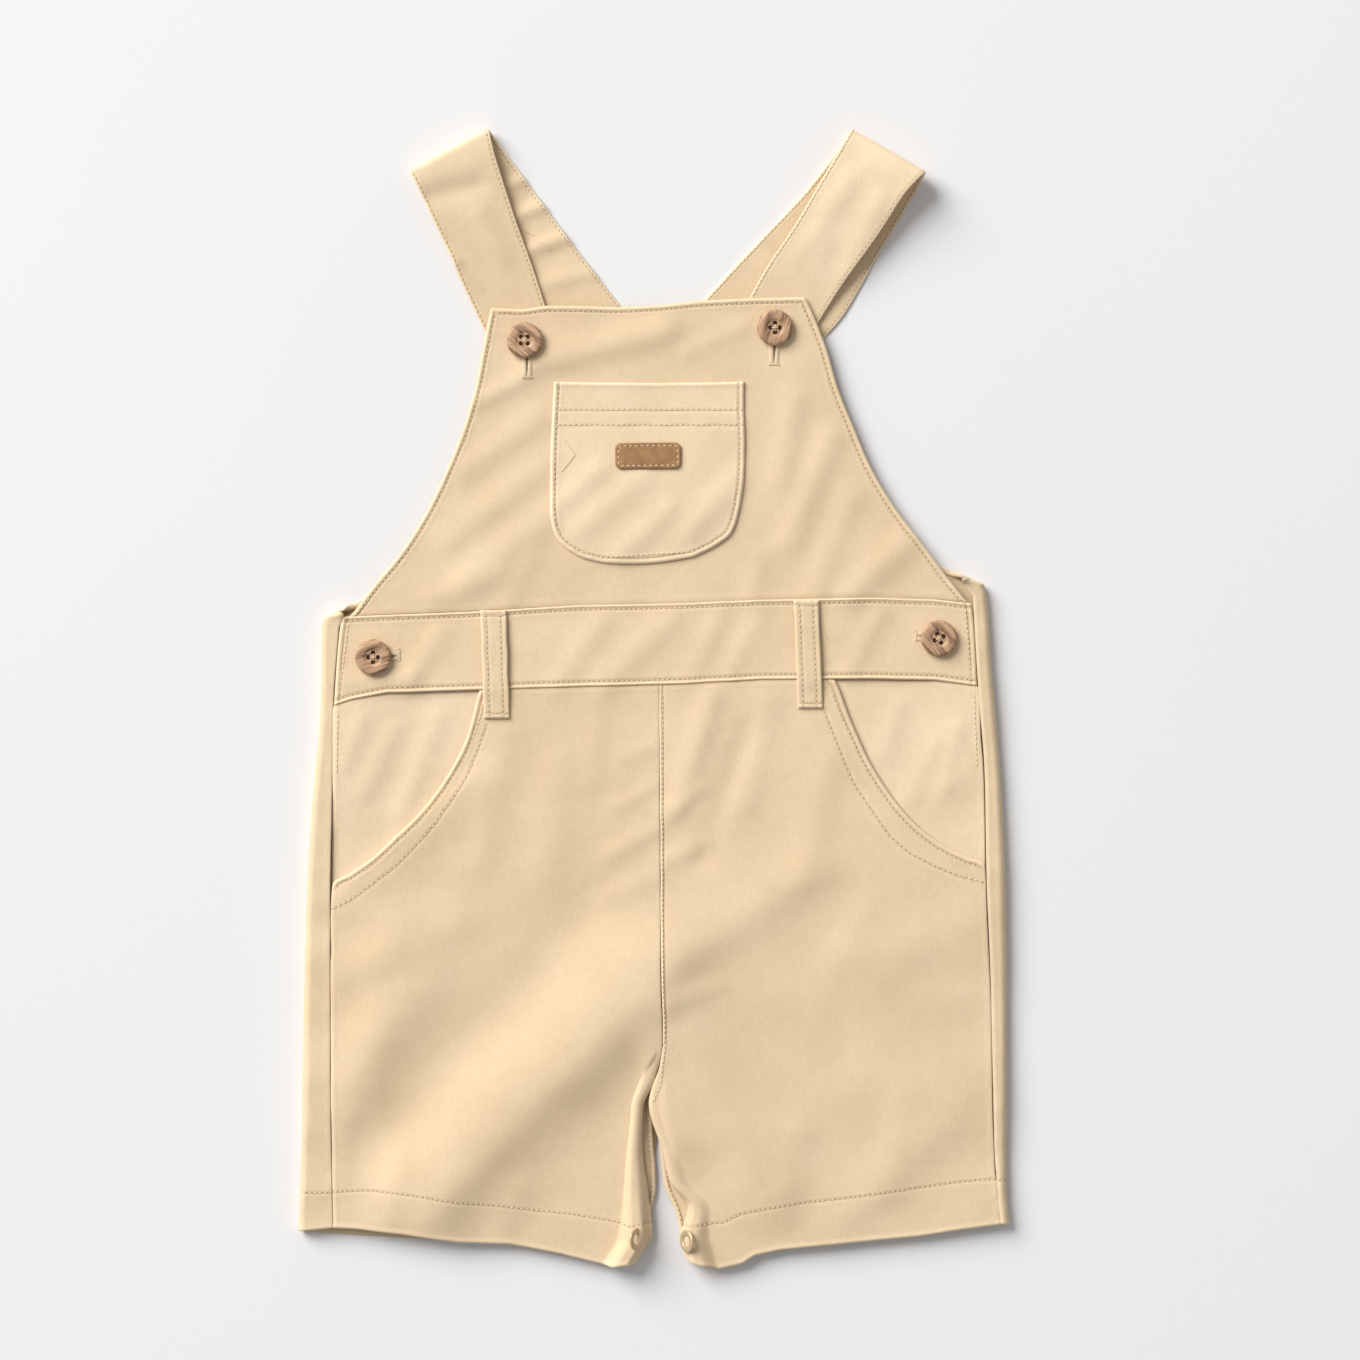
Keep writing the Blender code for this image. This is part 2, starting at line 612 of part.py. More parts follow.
def make_buttons(collection):
    radius = BUTTON_D / 2
    profile = (
        (0.0, 0.0),
        (radius - 1.2, 0.0),
        (radius - 0.3, 0.7),
        (radius, 1.6),
        (radius - 0.3, 2.5),
        (radius - 1.2, BUTTON_T),
        (radius - BUTTON_RIM, BUTTON_T - 0.15),
        (radius - BUTTON_RIM - 0.9, BUTTON_T - BUTTON_DISH),
        (0.0, BUTTON_T - BUTTON_DISH - 0.1),
    )
    for name, button in BUTTONS.items():
        x, y = button["x"], button["y"]
        obj = add_object(name, lathe(profile, 32), (WOOD, 0.55, 0.0), collection)
        base = max(
            lie(x + radius * math.cos(a), y + radius * math.sin(a))
            for a in [math.tau * k / 12 for k in range(12)]
        )
        obj.location = Vector((x, y, max(base, lie(x, y)) + CLOTH + LAYER_GAP)) * MM
        obj.rotation_euler.z = math.radians(button["turn"])
        for k, (sx, sy) in enumerate(((1, 1), (-1, 1), (-1, -1), (1, -1))):
            pitch = BUTTON_HOLE_PITCH / 2
            bm = bmesh.new()
            bmesh.ops.create_cone(
                bm,
                cap_ends=True,
                segments=10,
                radius1=BUTTON_HOLE_D / 2 * MM,
                radius2=BUTTON_HOLE_D / 2 * MM,
                depth=2.5 * BUTTON_T * MM,
            )
            drill = add_object(
                f"{name}_drill_{k}", bm, (WOOD, 0.5, 0.0), collection
            )
            drill.parent = obj
            drill.location = Vector((sx * pitch, sy * pitch, BUTTON_T / 2)) * MM
            drill.hide_render = True
            drill.display_type = "WIRE"
            cut = obj.modifiers.new(f"hole {k}", "BOOLEAN")
            cut.operation = "DIFFERENCE"
            cut.solver = "EXACT"
            cut.object = drill


def carried(rows, x, y, gap):
    """Place and face of a flat piece that touches the panel over (x, y)."""
    cells = [
        (abs((a[0] + c[0]) / 2 - x) + abs((a[1] + c[1]) / 2 - y), a, b, c, d)
        for upper, lower in zip(rows, rows[1:])
        for a, b, c, d in zip(upper, lower, lower[1:], upper[1:])
    ]
    a, b, c, d = (Vector(p) for p in min(cells)[1:])
    face = (c - a).cross(d - b).normalized()
    if face.z < 0:
        face.negate()
    middle = (a + b + c + d) / 4
    z = middle.z - (face.x * (x - middle.x) + face.y * (y - middle.y)) / face.z
    return Vector((x, y, z)) + face * (CLOTH + gap), face


def make_snaps(collection, carriers):
    """Ring snaps: a raised ring round a small open middle."""
    for name, snap in SNAPS.items():
        outer = snap["d"] / 2
        inner = outer * SNAP_BORE_D / SNAP_D
        profile = (
            (inner, 0.0),
            (outer - 0.35, 0.0),
            (outer, SNAP_T * 0.45),
            (outer - 0.45, SNAP_T * 0.9),
            ((outer + inner) / 2, SNAP_T),
            (inner, SNAP_T * 0.7),
        )
        obj = add_object(name, lathe(profile, 24), (METAL, 0.35, 0.6), collection)
        place, face = carried(carriers[snap["on"]], snap["x"], snap["y"], LAYER_GAP)
        obj.location = place * MM
        obj.rotation_euler = face.to_track_quat("Z", "Y").to_euler()
        print(name, [round(v, 2) for v in place], [round(v, 2) for v in face])


def settle(collection):
    """Moves the whole garment so that its box stands on z = 0, centred on the origin."""
    bpy.context.view_layer.update()
    graph = bpy.context.evaluated_depsgraph_get()
    low, high = Vector((9e9,) * 3), Vector((-9e9,) * 3)
    for obj in collection.objects:
        if obj.hide_render:
            continue
        evaluated = obj.evaluated_get(graph)
        mesh = evaluated.to_mesh()
        for vertex in mesh.vertices:
            p = evaluated.matrix_world @ vertex.co
            low = Vector(map(min, low, p))
            high = Vector(map(max, high, p))
        evaluated.to_mesh_clear()
    shift = Vector((-(low.x + high.x) / 2, -(low.y + high.y) / 2, -low.z))
    for obj in collection.objects:
        if obj.parent is None:
            obj.location += shift
    print("moved by", [round(v / MM, 3) for v in shift], "mm")


def main():
    for obj in list(bpy.data.objects):
        bpy.data.objects.remove(obj, do_unlink=True)
    collection = bpy.data.collections.new("shortalls")
    bpy.context.scene.collection.children.link(collection)
    make_backs(collection)
    make_straps(collection)
    make_facings(collection)
    carriers = make_front(collection)
    make_bands(collection, carriers)
    make_bib_pocket(collection)
    make_label(collection)
    make_loops(collection)
    make_buttons(collection)
    make_snaps(collection, carriers)
    settle(collection)


main()
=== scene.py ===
"""Looks of the shortalls: fine cloth, seams, stitches, buttons, light and camera.

Numbers are in millimetres unless said, in the garment's own plane: +X to the
viewer's right, +Y up towards the straps, +Z up off the table. Every cloth piece
is a thin closed shell on the form of its CAD solid, with its folds and creases
placed from the tables below.
"""

import math

import bmesh
import bpy
import numpy as np
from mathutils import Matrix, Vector
from mathutils.bvhtree import BVHTree


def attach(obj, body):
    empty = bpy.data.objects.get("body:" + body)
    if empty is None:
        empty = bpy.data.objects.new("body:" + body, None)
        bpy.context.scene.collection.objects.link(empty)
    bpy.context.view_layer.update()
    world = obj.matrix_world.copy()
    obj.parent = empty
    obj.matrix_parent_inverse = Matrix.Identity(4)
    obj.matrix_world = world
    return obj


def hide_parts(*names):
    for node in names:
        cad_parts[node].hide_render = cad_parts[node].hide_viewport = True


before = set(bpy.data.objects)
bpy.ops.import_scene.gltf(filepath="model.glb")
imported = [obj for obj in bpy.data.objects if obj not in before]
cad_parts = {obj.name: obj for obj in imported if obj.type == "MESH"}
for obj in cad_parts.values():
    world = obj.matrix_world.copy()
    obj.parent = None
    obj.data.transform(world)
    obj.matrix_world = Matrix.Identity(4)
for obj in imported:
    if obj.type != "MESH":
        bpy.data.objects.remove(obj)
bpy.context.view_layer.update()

MM = 0.001
SHIFT = np.array((-0.001, -0.475, 0.0))  # the tables' plane to the row frame

# ---------------------------------------------------------------- sizes (mm)
CLOTH = 1.0
SEAM_GAP = 0.4
LAYER_GAP = 0.45
FACING_DROP = CLOTH + LAYER_GAP
WALL = 0.82  # cloth away from its folded edges
SKIN = 0.17  # how much higher the fine cloth's underside lies than the solid's
STITCH_PITCH = 2.1
STITCH_LENGTH = 1.5
THREAD_R = 0.19
BUTTON_D = 15.0
BUTTON_T = 3.0
BUTTON_HOLE_D = 1.5
BUTTON_HOLE_PITCH = 2.75
SNAP_D = 9.5
SNAP_T = 1.1
SNAP_BORE_D = 4.6
LABEL_W, LABEL_H, LABEL_T, LABEL_R = 27.3, 10.9, 1.0, 2.5
LABEL_AT = (-2.5, 101.25)
LOOP_LIFT = 0.8
EDGE_REACH = 6.0
ROLL_FOOT = 7.0
FACING_UNDER = 9.0

LIE = {
    "y": (238, 165, 120, 45, 0, -60, -150, -200, -240),
    "z": (3.7, 3.7, 3.8, 4.3, 4.8, 5.2, 5.2, 4.8, 4.4),
}
FOLDS = (
    dict(x0=-2, y0=-118, x1=-88, y1=-206, height=4.8, before=26, after=17),
    dict(x0=-108, y0=-95, x1=-122, y1=-170, height=1.4, before=12, after=12),
    dict(x0=18, y0=-18, x1=46, y1=-92, height=0.8, before=18, after=18),
    dict(x0=96, y0=-150, x1=44, y1=-196, height=0.9, before=24, after=24),
    dict(x0=3, y0=-150, x1=8, y1=-180, height=2.2, before=8, after=26),
)

# Creases: crest from (x0, y0) to (x1, y1), height (under nothing for a
# trough) and reach to either side.
CREASES = (
    dict(x0=-95.4, y0=-119.2, x1=-128.8, y1=-160.8, height=1.50, before=12.5, after=10.8),
    dict(x0=-76.7, y0=-35.8, x1=-128.8, y1=-81.7, height=1.00, before=5.0, after=13.3),
    dict(x0=-82.9, y0=-94.2, x1=-128.8, y1=-115.0, height=0.80, before=10.0, after=8.3),
    dict(x0=-22.5, y0=-85.8, x1=-117.5, y1=-187.9, height=-1.50, before=14.2, after=14.2),
    dict(x0=0.4, y0=-18.8, x1=-13.3, y1=-24.6, height=0.30, before=3.8, after=3.8),
    dict(x0=0.4, y0=-36.2, x1=-15.0, y1=-44.6, height=0.40, before=3.8, after=3.8),
    dict(x0=0.4, y0=-54.6, x1=-17.5, y1=-64.6, height=0.60, before=4.6, after=4.2),
    dict(x0=0.4, y0=-73.8, x1=-20.0, y1=-83.8, height=0.42, before=4.6, after=5.0),
    dict(x0=-128.8, y0=-175.4, x1=-131.7, y1=-202.5, height=0.50, before=5.8, after=5.8),
    dict(x0=-2.1, y0=-117.9, x1=-87.9, y1=-205.8, height=0.90, before=25.8, after=17.1),
    dict(x0=127.5, y0=-171.2, x1=81.7, y1=-212.9, height=1.20, before=14.2, after=10.0),
    dict(x0=-62.1, y0=-17.1, x1=-72.5, y1=-67.1, height=0.55, before=7.5, after=7.5),
    dict(x0=-39.2, y0=-25.4, x1=-45.4, y1=-75.4, height=0.50, before=8.3, after=8.3),
    dict(x0=-22.5, y0=-0.4, x1=-26.7, y1=-33.8, height=0.35, before=5.8, after=5.8),
    dict(x0=-107.9, y0=-12.9, x1=-120.0, y1=-37.9, height=0.50, before=4.6, after=4.6),
    dict(x0=-90.0, y0=-8.8, x1=-105.0, y1=-47.1, height=0.60, before=5.4, after=5.0),
    dict(x0=-121.7, y0=-8.8, x1=-128.3, y1=-27.1, height=0.35, before=3.8, after=3.8),
    dict(x0=-39.2, y0=-167.1, x1=-76.7, y1=-208.8, height=-0.50, before=8.3, after=8.3),
    dict(x0=-105.8, y0=-192.1, x1=-112.1, y1=-219.2, height=0.80, before=7.5, after=7.5),
    dict(x0=-55.8, y0=-204.6, x1=-64.2, y1=-223.3, height=0.50, before=6.7, after=6.7),
    dict(x0=24.2, y0=-0.4, x1=10.0, y1=-44.2, height=1.10, before=6.7, after=5.4),
    dict(x0=39.2, y0=-12.9, x1=20.0, y1=-67.1, height=-0.70, before=5.8, after=5.8),
    dict(x0=65.8, y0=-72.1, x1=14.2, y1=-103.8, height=1.50, before=14.2, after=10.0),
    dict(x0=19.2, y0=-37.9, x1=6.7, y1=-48.3, height=0.50, before=3.8, after=3.8),
    dict(x0=21.7, y0=-59.6, x1=5.8, y1=-67.1, height=0.50, before=4.2, after=4.2),
    dict(x0=25.8, y0=-119.6, x1=6.7, y1=-127.1, height=0.60, before=5.0, after=5.0),
    dict(x0=15.0, y0=-137.9, x1=46.2, y1=-204.6, height=1.30, before=10.8, after=14.2),
    dict(x0=131.7, y0=-137.9, x1=81.7, y1=-148.3, height=-1.10, before=14.2, after=14.2),
    dict(x0=133.8, y0=-94.2, x1=85.8, y1=-108.8, height=0.80, before=12.5, after=12.5),
    dict(x0=48.3, y0=-0.4, x1=37.9, y1=-42.1, height=0.50, before=6.7, after=6.7),
    dict(x0=73.3, y0=-25.4, x1=60.8, y1=-75.4, height=0.55, before=7.5, after=7.5),
    dict(x0=90.0, y0=-83.8, x1=69.2, y1=-125.4, height=0.45, before=8.3, after=8.3),
    dict(x0=102.5, y0=-2.5, x1=95.8, y1=-22.1, height=0.40, before=4.6, after=4.6),
    dict(x0=117.1, y0=-19.2, x1=105.8, y1=-42.1, height=0.45, before=5.0, after=5.0),
    dict(x0=126.7, y0=-12.1, x1=120.8, y1=-36.2, height=0.35, before=3.8, after=3.8),
    dict(x0=60.8, y0=-179.6, x1=52.5, y1=-215.0, height=0.50, before=7.5, after=7.5),
    dict(x0=102.5, y0=-171.2, x1=96.2, y1=-204.6, height=0.55, before=8.3, after=8.3),
    dict(x0=4.6, y0=152.9, x1=-49.6, y1=139.6, height=1.40, before=7.1, after=5.8),
    dict(x0=35.8, y0=154.6, x1=14.2, y1=144.6, height=0.50, before=4.6, after=4.6),
    dict(x0=-55.8, y0=132.9, x1=-73.3, y1=123.8, height=0.80, before=4.2, after=4.2),
    dict(x0=-49.6, y0=116.2, x1=-78.8, y1=95.4, height=0.80, before=6.2, after=5.8),
    dict(x0=-47.5, y0=95.4, x1=-85.0, y1=66.2, height=0.90, before=7.1, after=6.2),
    dict(x0=-45.4, y0=74.6, x1=-78.8, y1=49.6, height=1.10, before=7.1, after=7.1),
    dict(x0=-64.2, y0=51.7, x1=-91.2, y1=41.2, height=0.70, before=5.8, after=5.8),
    dict(x0=-51.7, y0=57.9, x1=-60.0, y1=41.2, height=0.50, before=5.0, after=5.0),
    dict(x0=58.8, y0=124.6, x1=52.5, y1=91.2, height=0.90, before=6.7, after=5.8),
    dict(x0=73.3, y0=107.9, x1=56.7, y1=66.2, height=1.00, before=6.2, after=6.2),
    dict(x0=81.7, y0=82.9, x1=67.1, y1=45.4, height=0.80, before=6.2, after=6.2),
    dict(x0=104.6, y0=64.2, x1=81.7, y1=43.3, height=1.10, before=6.2, after=6.2),
    dict(x0=44.2, y0=57.9, x1=40.0, y1=41.2, height=0.50, before=5.0, after=5.0),
    dict(x0=-5.8, y0=91.2, x1=-30.8, y1=70.4, height=0.80, before=5.8, after=5.8),
    dict(x0=-22.5, y0=95.4, x1=-37.1, y1=82.9, height=0.70, before=5.0, after=5.0),
    dict(x0=33.8, y0=91.2, x1=15.0, y1=70.4, height=0.80, before=5.8, after=5.8),
    dict(x0=6.7, y0=78.8, x1=-14.2, y1=60.0, height=0.70, before=5.0, after=5.0),
    dict(x0=6.7, y0=32.9, x1=-18.3, y1=7.9, height=0.70, before=6.7, after=5.8),
    dict(x0=-22.5, y0=30.8, x1=-39.2, y1=7.9, height=0.65, before=5.8, after=5.8),
    dict(x0=44.2, y0=36.2, x1=31.7, y1=12.1, height=0.50, before=5.0, after=5.0),
    dict(x0=27.5, y0=35.0, x1=15.0, y1=7.9, height=0.50, before=5.0, after=5.0),
    dict(x0=-89.2, y0=26.7, x1=-101.7, y1=7.9, height=0.60, before=5.0, after=5.0),
    dict(x0=94.2, y0=35.0, x1=81.7, y1=12.1, height=0.60, before=5.0, after=5.0),
    dict(x0=-126.7, y0=7.1, x1=-100.8, y1=9.2, height=0.50, before=3.8, after=3.8),
)
STRAP_CREASES_LEFT = (
    dict(x0=-95.4, y0=193.3, x1=-82.9, y1=182.1, height=0.90, before=3.3, after=3.3),
    dict(x0=-86.2, y0=182.1, x1=-73.3, y1=170.4, height=1.00, before=3.3, after=3.3),
    dict(x0=-72.5, y0=201.7, x1=-62.1, y1=182.9, height=0.60, before=4.2, after=4.2),
    dict(x0=-80.0, y0=166.2, x1=-67.5, y1=162.1, height=0.80, before=3.3, after=3.3),
    dict(x0=-92.5, y0=209.6, x1=-74.2, y1=213.8, height=-0.90, before=5.0, after=5.0),
)
STRAP_CREASES_RIGHT = (
    dict(x0=81.7, y0=216.2, x1=60.8, y1=182.9, height=0.60, before=5.0, after=5.0),
    dict(x0=94.2, y0=207.9, x1=77.5, y1=170.4, height=0.50, before=4.6, after=4.6),
    dict(x0=90.0, y0=222.5, x1=104.6, y1=212.1, height=0.50, before=4.6, after=4.6),
    dict(x0=71.2, y0=187.1, x1=60.8, y1=166.2, height=0.50, before=4.2, after=4.2),
)
BEHIND_CREASES_LEFT = (
    dict(x0=-64.2, y0=213.8, x1=-47.5, y1=219.6, height=1.00, before=2.9, after=2.9),
    dict(x0=-59.2, y0=201.2, x1=-39.2, y1=208.8, height=1.30, before=3.3, after=3.3),
    dict(x0=-53.3, y0=187.1, x1=-28.8, y1=195.4, height=1.20, before=3.3, after=3.3),
    dict(x0=-47.5, y0=172.1, x1=-17.5, y1=179.6, height=1.10, before=3.8, after=3.8),
)
BEHIND_CREASES_RIGHT = (
    dict(x0=56.7, y0=205.8, x1=65.8, y1=197.5, height=1.10, before=2.9, after=2.9),
    dict(x0=46.2, y0=193.3, x1=56.7, y1=185.0, height=1.20, before=2.9, after=2.9),
    dict(x0=35.8, y0=182.1, x1=48.3, y1=172.5, height=1.10, before=2.9, after=2.9),
    dict(x0=25.4, y0=173.8, x1=36.7, y1=165.4, height=0.90, before=2.9, after=2.9),
)

# Waistband: both long edges, a row for each station across, and how far its
# two ends reach at the top and at the bottom.
WAIST_ENDS = {"top": (-129.4, 132.0), "bottom": (-133.3, 134.6)}
WAIST = {
    "x": (-133.1, -125.8, -111.2, -77.9, -32.9, 10.4, 44.2, 89.2, 117.1, 133.8),
    "top": (33.8, 34.6, 35.2, 36.5, 39.2, 40.0, 41.5, 42.5, 41.7, 39.8),
    "bottom": (-2.9, -0.4, 2.5, 3.5, 5.0, 6.0, 7.9, 8.3, 7.7, 5.4),
}

# Bib, from its top edge down: left end and right end of each section.
BIB = {
    "left_x": (-67.9, -69.6, -71.7, -74.6, -79.6, -86.2, -95.0, -105.8, -116.2, -126.9),
    "left_y": (162.5, 155.0, 144.6, 129.6, 112.9, 96.2, 77.9, 60.8, 48.3, 35.4),
    "right_x": (62.5, 67.5, 71.7, 76.7, 83.3, 90.4, 100.8, 113.8, 122.5, 131.0),
    "right_y": (167.3, 157.1, 146.7, 129.6, 113.3, 96.7, 79.2, 62.1, 50.4, 41.2),
}

# Patch pocket on the bib, from its opening down round the bowl.
BIB_POCKET = {
    "left_x": (-41.7, -42.5, -43.3, -43.3, -42.5, -40.0, -35.0, -29.6, -21.2),
    "left_y": (132.2, 117.1, 92.9, 79.2, 72.1, 66.2, 61.7, 58.8, 56.7),
    "right_x": (37.5, 37.5, 37.9, 37.5, 36.2, 34.6, 32.1, 25.8, 16.7),
    "right_y": (132.2, 120.4, 106.7, 92.9, 82.5, 75.0, 68.8, 63.8, 59.2),
}

# Front legs: down the curved pocket opening and the side seam on one side, and
# down the centre seam and the inside leg on the other.
LEG_LEFT = {
    "left_x": (-72.3, -75.4, -78.8, -84.6, -91.2, -98.8, -107.9, -117.9, -126.7, -133.6, -134.4, -134.4, -134.4, -134.2, -134.2, -134.0, -133.8, -133.6, -133.4),
    "left_y": (2.5, -9.6, -18.8, -29.6, -39.6, -48.8, -57.5, -66.7, -72.7, -77.2, -94.2, -112.9, -133.8, -154.6, -171.2, -187.9, -198.3, -209.0, -220.4),
    "right_x": (1.9, 2.0, 2.1, 2.1, 2.2, 2.3, 2.4, 2.5, 2.5, 2.5, 2.7, 3.1, 3.2, 0.8, -5.0, -5.4, -3.0, -1.0, -7.1),
    "right_y": (5.0, -10.4, -24.2, -37.9, -52.5, -66.2, -79.6, -91.2, -101.2, -109.6, -122.1, -132.9, -144.6, -157.1, -169.6, -184.6, -198.8, -211.0, -234.6),
    # Inside leg: width of the roll that turns down to the edge, the height of
    # its crest and the height of the edge.
    "roll": (0, 0, 0, 0, 0, 0, 0, 0, 0, 0, 0, 0, 2.0, 5.2, 3.6, 4.8, 10.0, 15.0, 14.0),
    "crest": (5, 5, 5, 5, 5, 5, 5, 5, 5, 5, 5, 5, 6.0, 8.0, 8.6, 8.8, 9.2, 9.8, 10.2),
    "edge": (5, 5, 5, 5, 5, 5, 5, 5, 5, 5, 5, 5, 5.0, 4.2, 3.6, 3.4, 3.4, 3.3, 3.3),
}
LEG_RIGHT = {
    "left_x": (2.4, 2.4, 2.5, 2.6, 2.7, 2.8, 2.9, 2.9, 3.0, 3.1, 3.3, 3.8, 3.8, 2.5, -1.7, 3.8, 7.1, 14.6, 10.8, 13.3),
    "left_y": (5.0, -5.8, -17.1, -30.4, -44.2, -57.9, -71.2, -83.8, -95.4, -106.7, -119.2, -133.8, -142.9, -152.9, -168.3, -187.1, -200.0, -208.7, -219.6, -233.8),
    "right_x": (74.4, 79.2, 83.3, 89.2, 95.8, 103.5, 112.5, 122.5, 130.4, 137.6, 138.5, 139.6, 140.4, 140.6, 140.8, 141.5, 141.9, 142.7, 143.3, 144.2),
    "right_y": (8.5, -4.2, -12.9, -25.4, -36.2, -46.5, -55.4, -62.1, -65.8, -69.0, -92.1, -112.9, -133.8, -154.6, -171.2, -187.9, -198.3, -205.4, -211.2, -218.8),
    "roll": (0, 0, 0, 0, 0, 0, 0, 0, 0, 0, 0, 0, 0, 0, 3.0, 4.0, 5.0, 5.0, 8.0, 9.0),
    "crest": (5, 5, 5, 5, 5, 5, 5, 5, 5, 5, 5, 5, 5, 6.0, 7.2, 7.4, 7.0, 6.6, 7.6, 8.6),
    "edge": (5, 5, 5, 5, 5, 5, 5, 5, 5, 5, 5, 5, 5, 5.6, 5.6, 5.0, 4.0, 3.6, 3.3, 3.3),
}
ROLL_FOOT = 7.0  # how far beyond its crest a roll runs out into the panel
# Folded edge of each front hem, from left to right.
HEM_LEFT = {
    "x": (-133.4, -123.9, -102.5, -81.0, -60.0, -38.8, -28.3, -17.5, -7.1),
    "y": (-220.4, -220.8, -223.1, -226.2, -227.1, -231.2, -233.8, -236.5, -234.8),
}
HEM_RIGHT = {
    "x": (13.3, 18.8, 27.1, 36.7, 42.1, 52.5, 68.8, 90.0, 111.2, 127.1, 144.2),
    "y": (-233.5, -235.8, -237.5, -235.4, -231.9, -229.6, -227.9, -225.8, -223.8, -221.2, -218.9),
}

# Hip facing seen inside each curved opening, from the waistband down.
FACING_LEFT = {
    "left_x": (-133.0, -133.3, -133.3, -133.4, -133.6, -133.8, -134.0),
    "left_y": (-3.3, -12.9, -23.3, -35.8, -48.3, -60.8, -72.1),
    "right_x": (-71.7, -75.0, -79.2, -85.0, -93.3, -105.8, -119.2),
    "right_y": (2.9, -9.6, -19.6, -30.0, -42.1, -55.8, -67.5),
}
FACING_RIGHT = {
    "left_x": (74.4, 78.8, 82.9, 88.8, 95.8, 104.6, 115.8),
    "left_y": (8.5, -4.2, -12.9, -25.4, -36.2, -47.5, -57.9),
    "right_x": (134.6, 135.4, 135.6, 136.7, 137.2, 137.5, 137.7),
    "right_y": (4.8, -6.7, -17.9, -29.6, -40.0, -51.2, -60.8),
}
FACING_UNDER = 9.0  # how far the facing runs under the leg's folded edge

# Backs, from the strap seam down: centre-back end, outer end, and the side
# seam that the cloth reaches on the front after it turns over the side fold
# (None along the armhole, where it doesn't turn).
BACK_LEFT = (
    # centre x, y, outer x, y, seam x, y
    (2.9, 145.0, -57.9, 144.6, None, None),
    (2.6, 126.7, -52.9, 126.7, None, None),
    (2.5, 107.9, -51.7, 107.9, None, None),
    (2.5, 87.1, -60.0, 87.1, None, None),
    (2.5, 68.3, -78.8, 68.3, None, None),
    (2.5, 52.9, -103.8, 51.7, None, None),
    (2.5, 41.2, -124.2, 40.0, None, None),
    (2.5, 24.6, -138.5, 32.5, -131.4, 29.6),
    (2.5, 3.8, -139.0, -0.4, -133.7, -3.3),
    (2.5, -42.1, -142.5, -42.1, -134.2, -42.1),
    (2.5, -83.8, -145.0, -83.8, -134.9, -83.8),
    (2.5, -125.4, -146.0, -125.4, -134.9, -125.4),
    (2.1, -162.9, -146.7, -162.9, -134.7, -162.9),
    (0.8, -187.9, -147.1, -187.9, -134.5, -187.9),
    (-2.6, -206.7, -147.7, -206.7, -134.1, -206.7),
    (-9.2, -231.0, -148.3, -222.5, -133.8, -220.4),
)
BACK_RIGHT = (
    (3.3, 145.0, 65.4, 144.6, None, None),
    (3.0, 126.7, 60.4, 126.7, None, None),
    (2.9, 107.9, 62.1, 107.9, None, None),
    (2.9, 87.1, 71.7, 87.1, None, None),
    (2.9, 70.4, 86.7, 71.2, None, None),
    (2.9, 57.9, 104.6, 61.2, None, None),
    (2.9, 47.5, 124.0, 53.3, None, None),
    (2.9, 32.9, 138.1, 47.1, 133.0, 42.9),
    (2.9, 7.9, 141.2, 11.2, 135.2, 5.0),
    (2.9, -33.8, 144.6, -33.8, 138.0, -33.8),
    (2.9, -75.4, 146.5, -78.8, 138.7, -75.4),
    (2.9, -117.1, 147.1, -117.1, 140.4, -117.1),
    (3.1, -158.8, 147.1, -158.8, 141.3, -158.8),
    (3.9, -187.9, 146.9, -187.9, 142.0, -187.9),
    (7.0, -206.7, 147.1, -202.5, 143.4, -204.6),
    (14.6, -231.5, 148.3, -218.8, 144.6, -218.8),
)

# Shoulder straps: the run in front, from its button end up to the fold, then
# the run behind, down to the back. z is the side of the cloth inside the fold.
STRAP_LEFT = {
    "left_x": (-64.2, -69.6, -77.5, -86.2, -93.3, -98.6, -101.3, -101.9, -99.6, -89.2, -76.7, -66.5, -57.9),
    "left_y": (137.9, 150.8, 167.5, 187.1, 202.1, 213.3, 218.6, 219.4, 215.6, 198.8, 178.3, 161.4, 145.7),
    "right_x": (-38.3, -42.5, -50.4, -58.3, -63.3, -66.9, -68.4, -68.5, -66.2, -50.4, -30.0, -13.4, 2.1),
    "right_y": (145.4, 155.8, 179.6, 201.7, 217.1, 229.0, 236.0, 237.1, 233.9, 212.1, 184.6, 163.6, 146.9),
    "z": (1.6, 1.6, 2.4, 3.4, 4.4, 5.4, 4.9, 3.2, 1.4, 1.0, 1.0, 1.0, 1.0),
}
STRAP_RIGHT = {
    "left_x": (32.5, 37.1, 46.2, 58.8, 71.0, 79.6, 81.5, 81.7, 79.4, 63.5, 46.9, 30.4, 4.2),
    "left_y": (154.2, 162.1, 178.8, 197.5, 218.0, 232.4, 236.0, 236.9, 233.0, 212.0, 194.2, 176.7, 147.5),
    "right_x": (60.0, 66.2, 78.1, 93.3, 104.8, 110.6, 112.4, 112.8, 110.6, 101.2, 93.3, 78.1, 65.4),
    "right_y": (143.8, 153.3, 172.1, 193.3, 210.5, 216.6, 218.0, 218.6, 214.0, 197.9, 184.8, 158.8, 145.4),
    "z": (1.6, 1.6, 3.0, 5.4, 8.0, 9.2, 7.6, 4.4, 1.5, 1.0, 1.0, 1.0, 1.0),
}

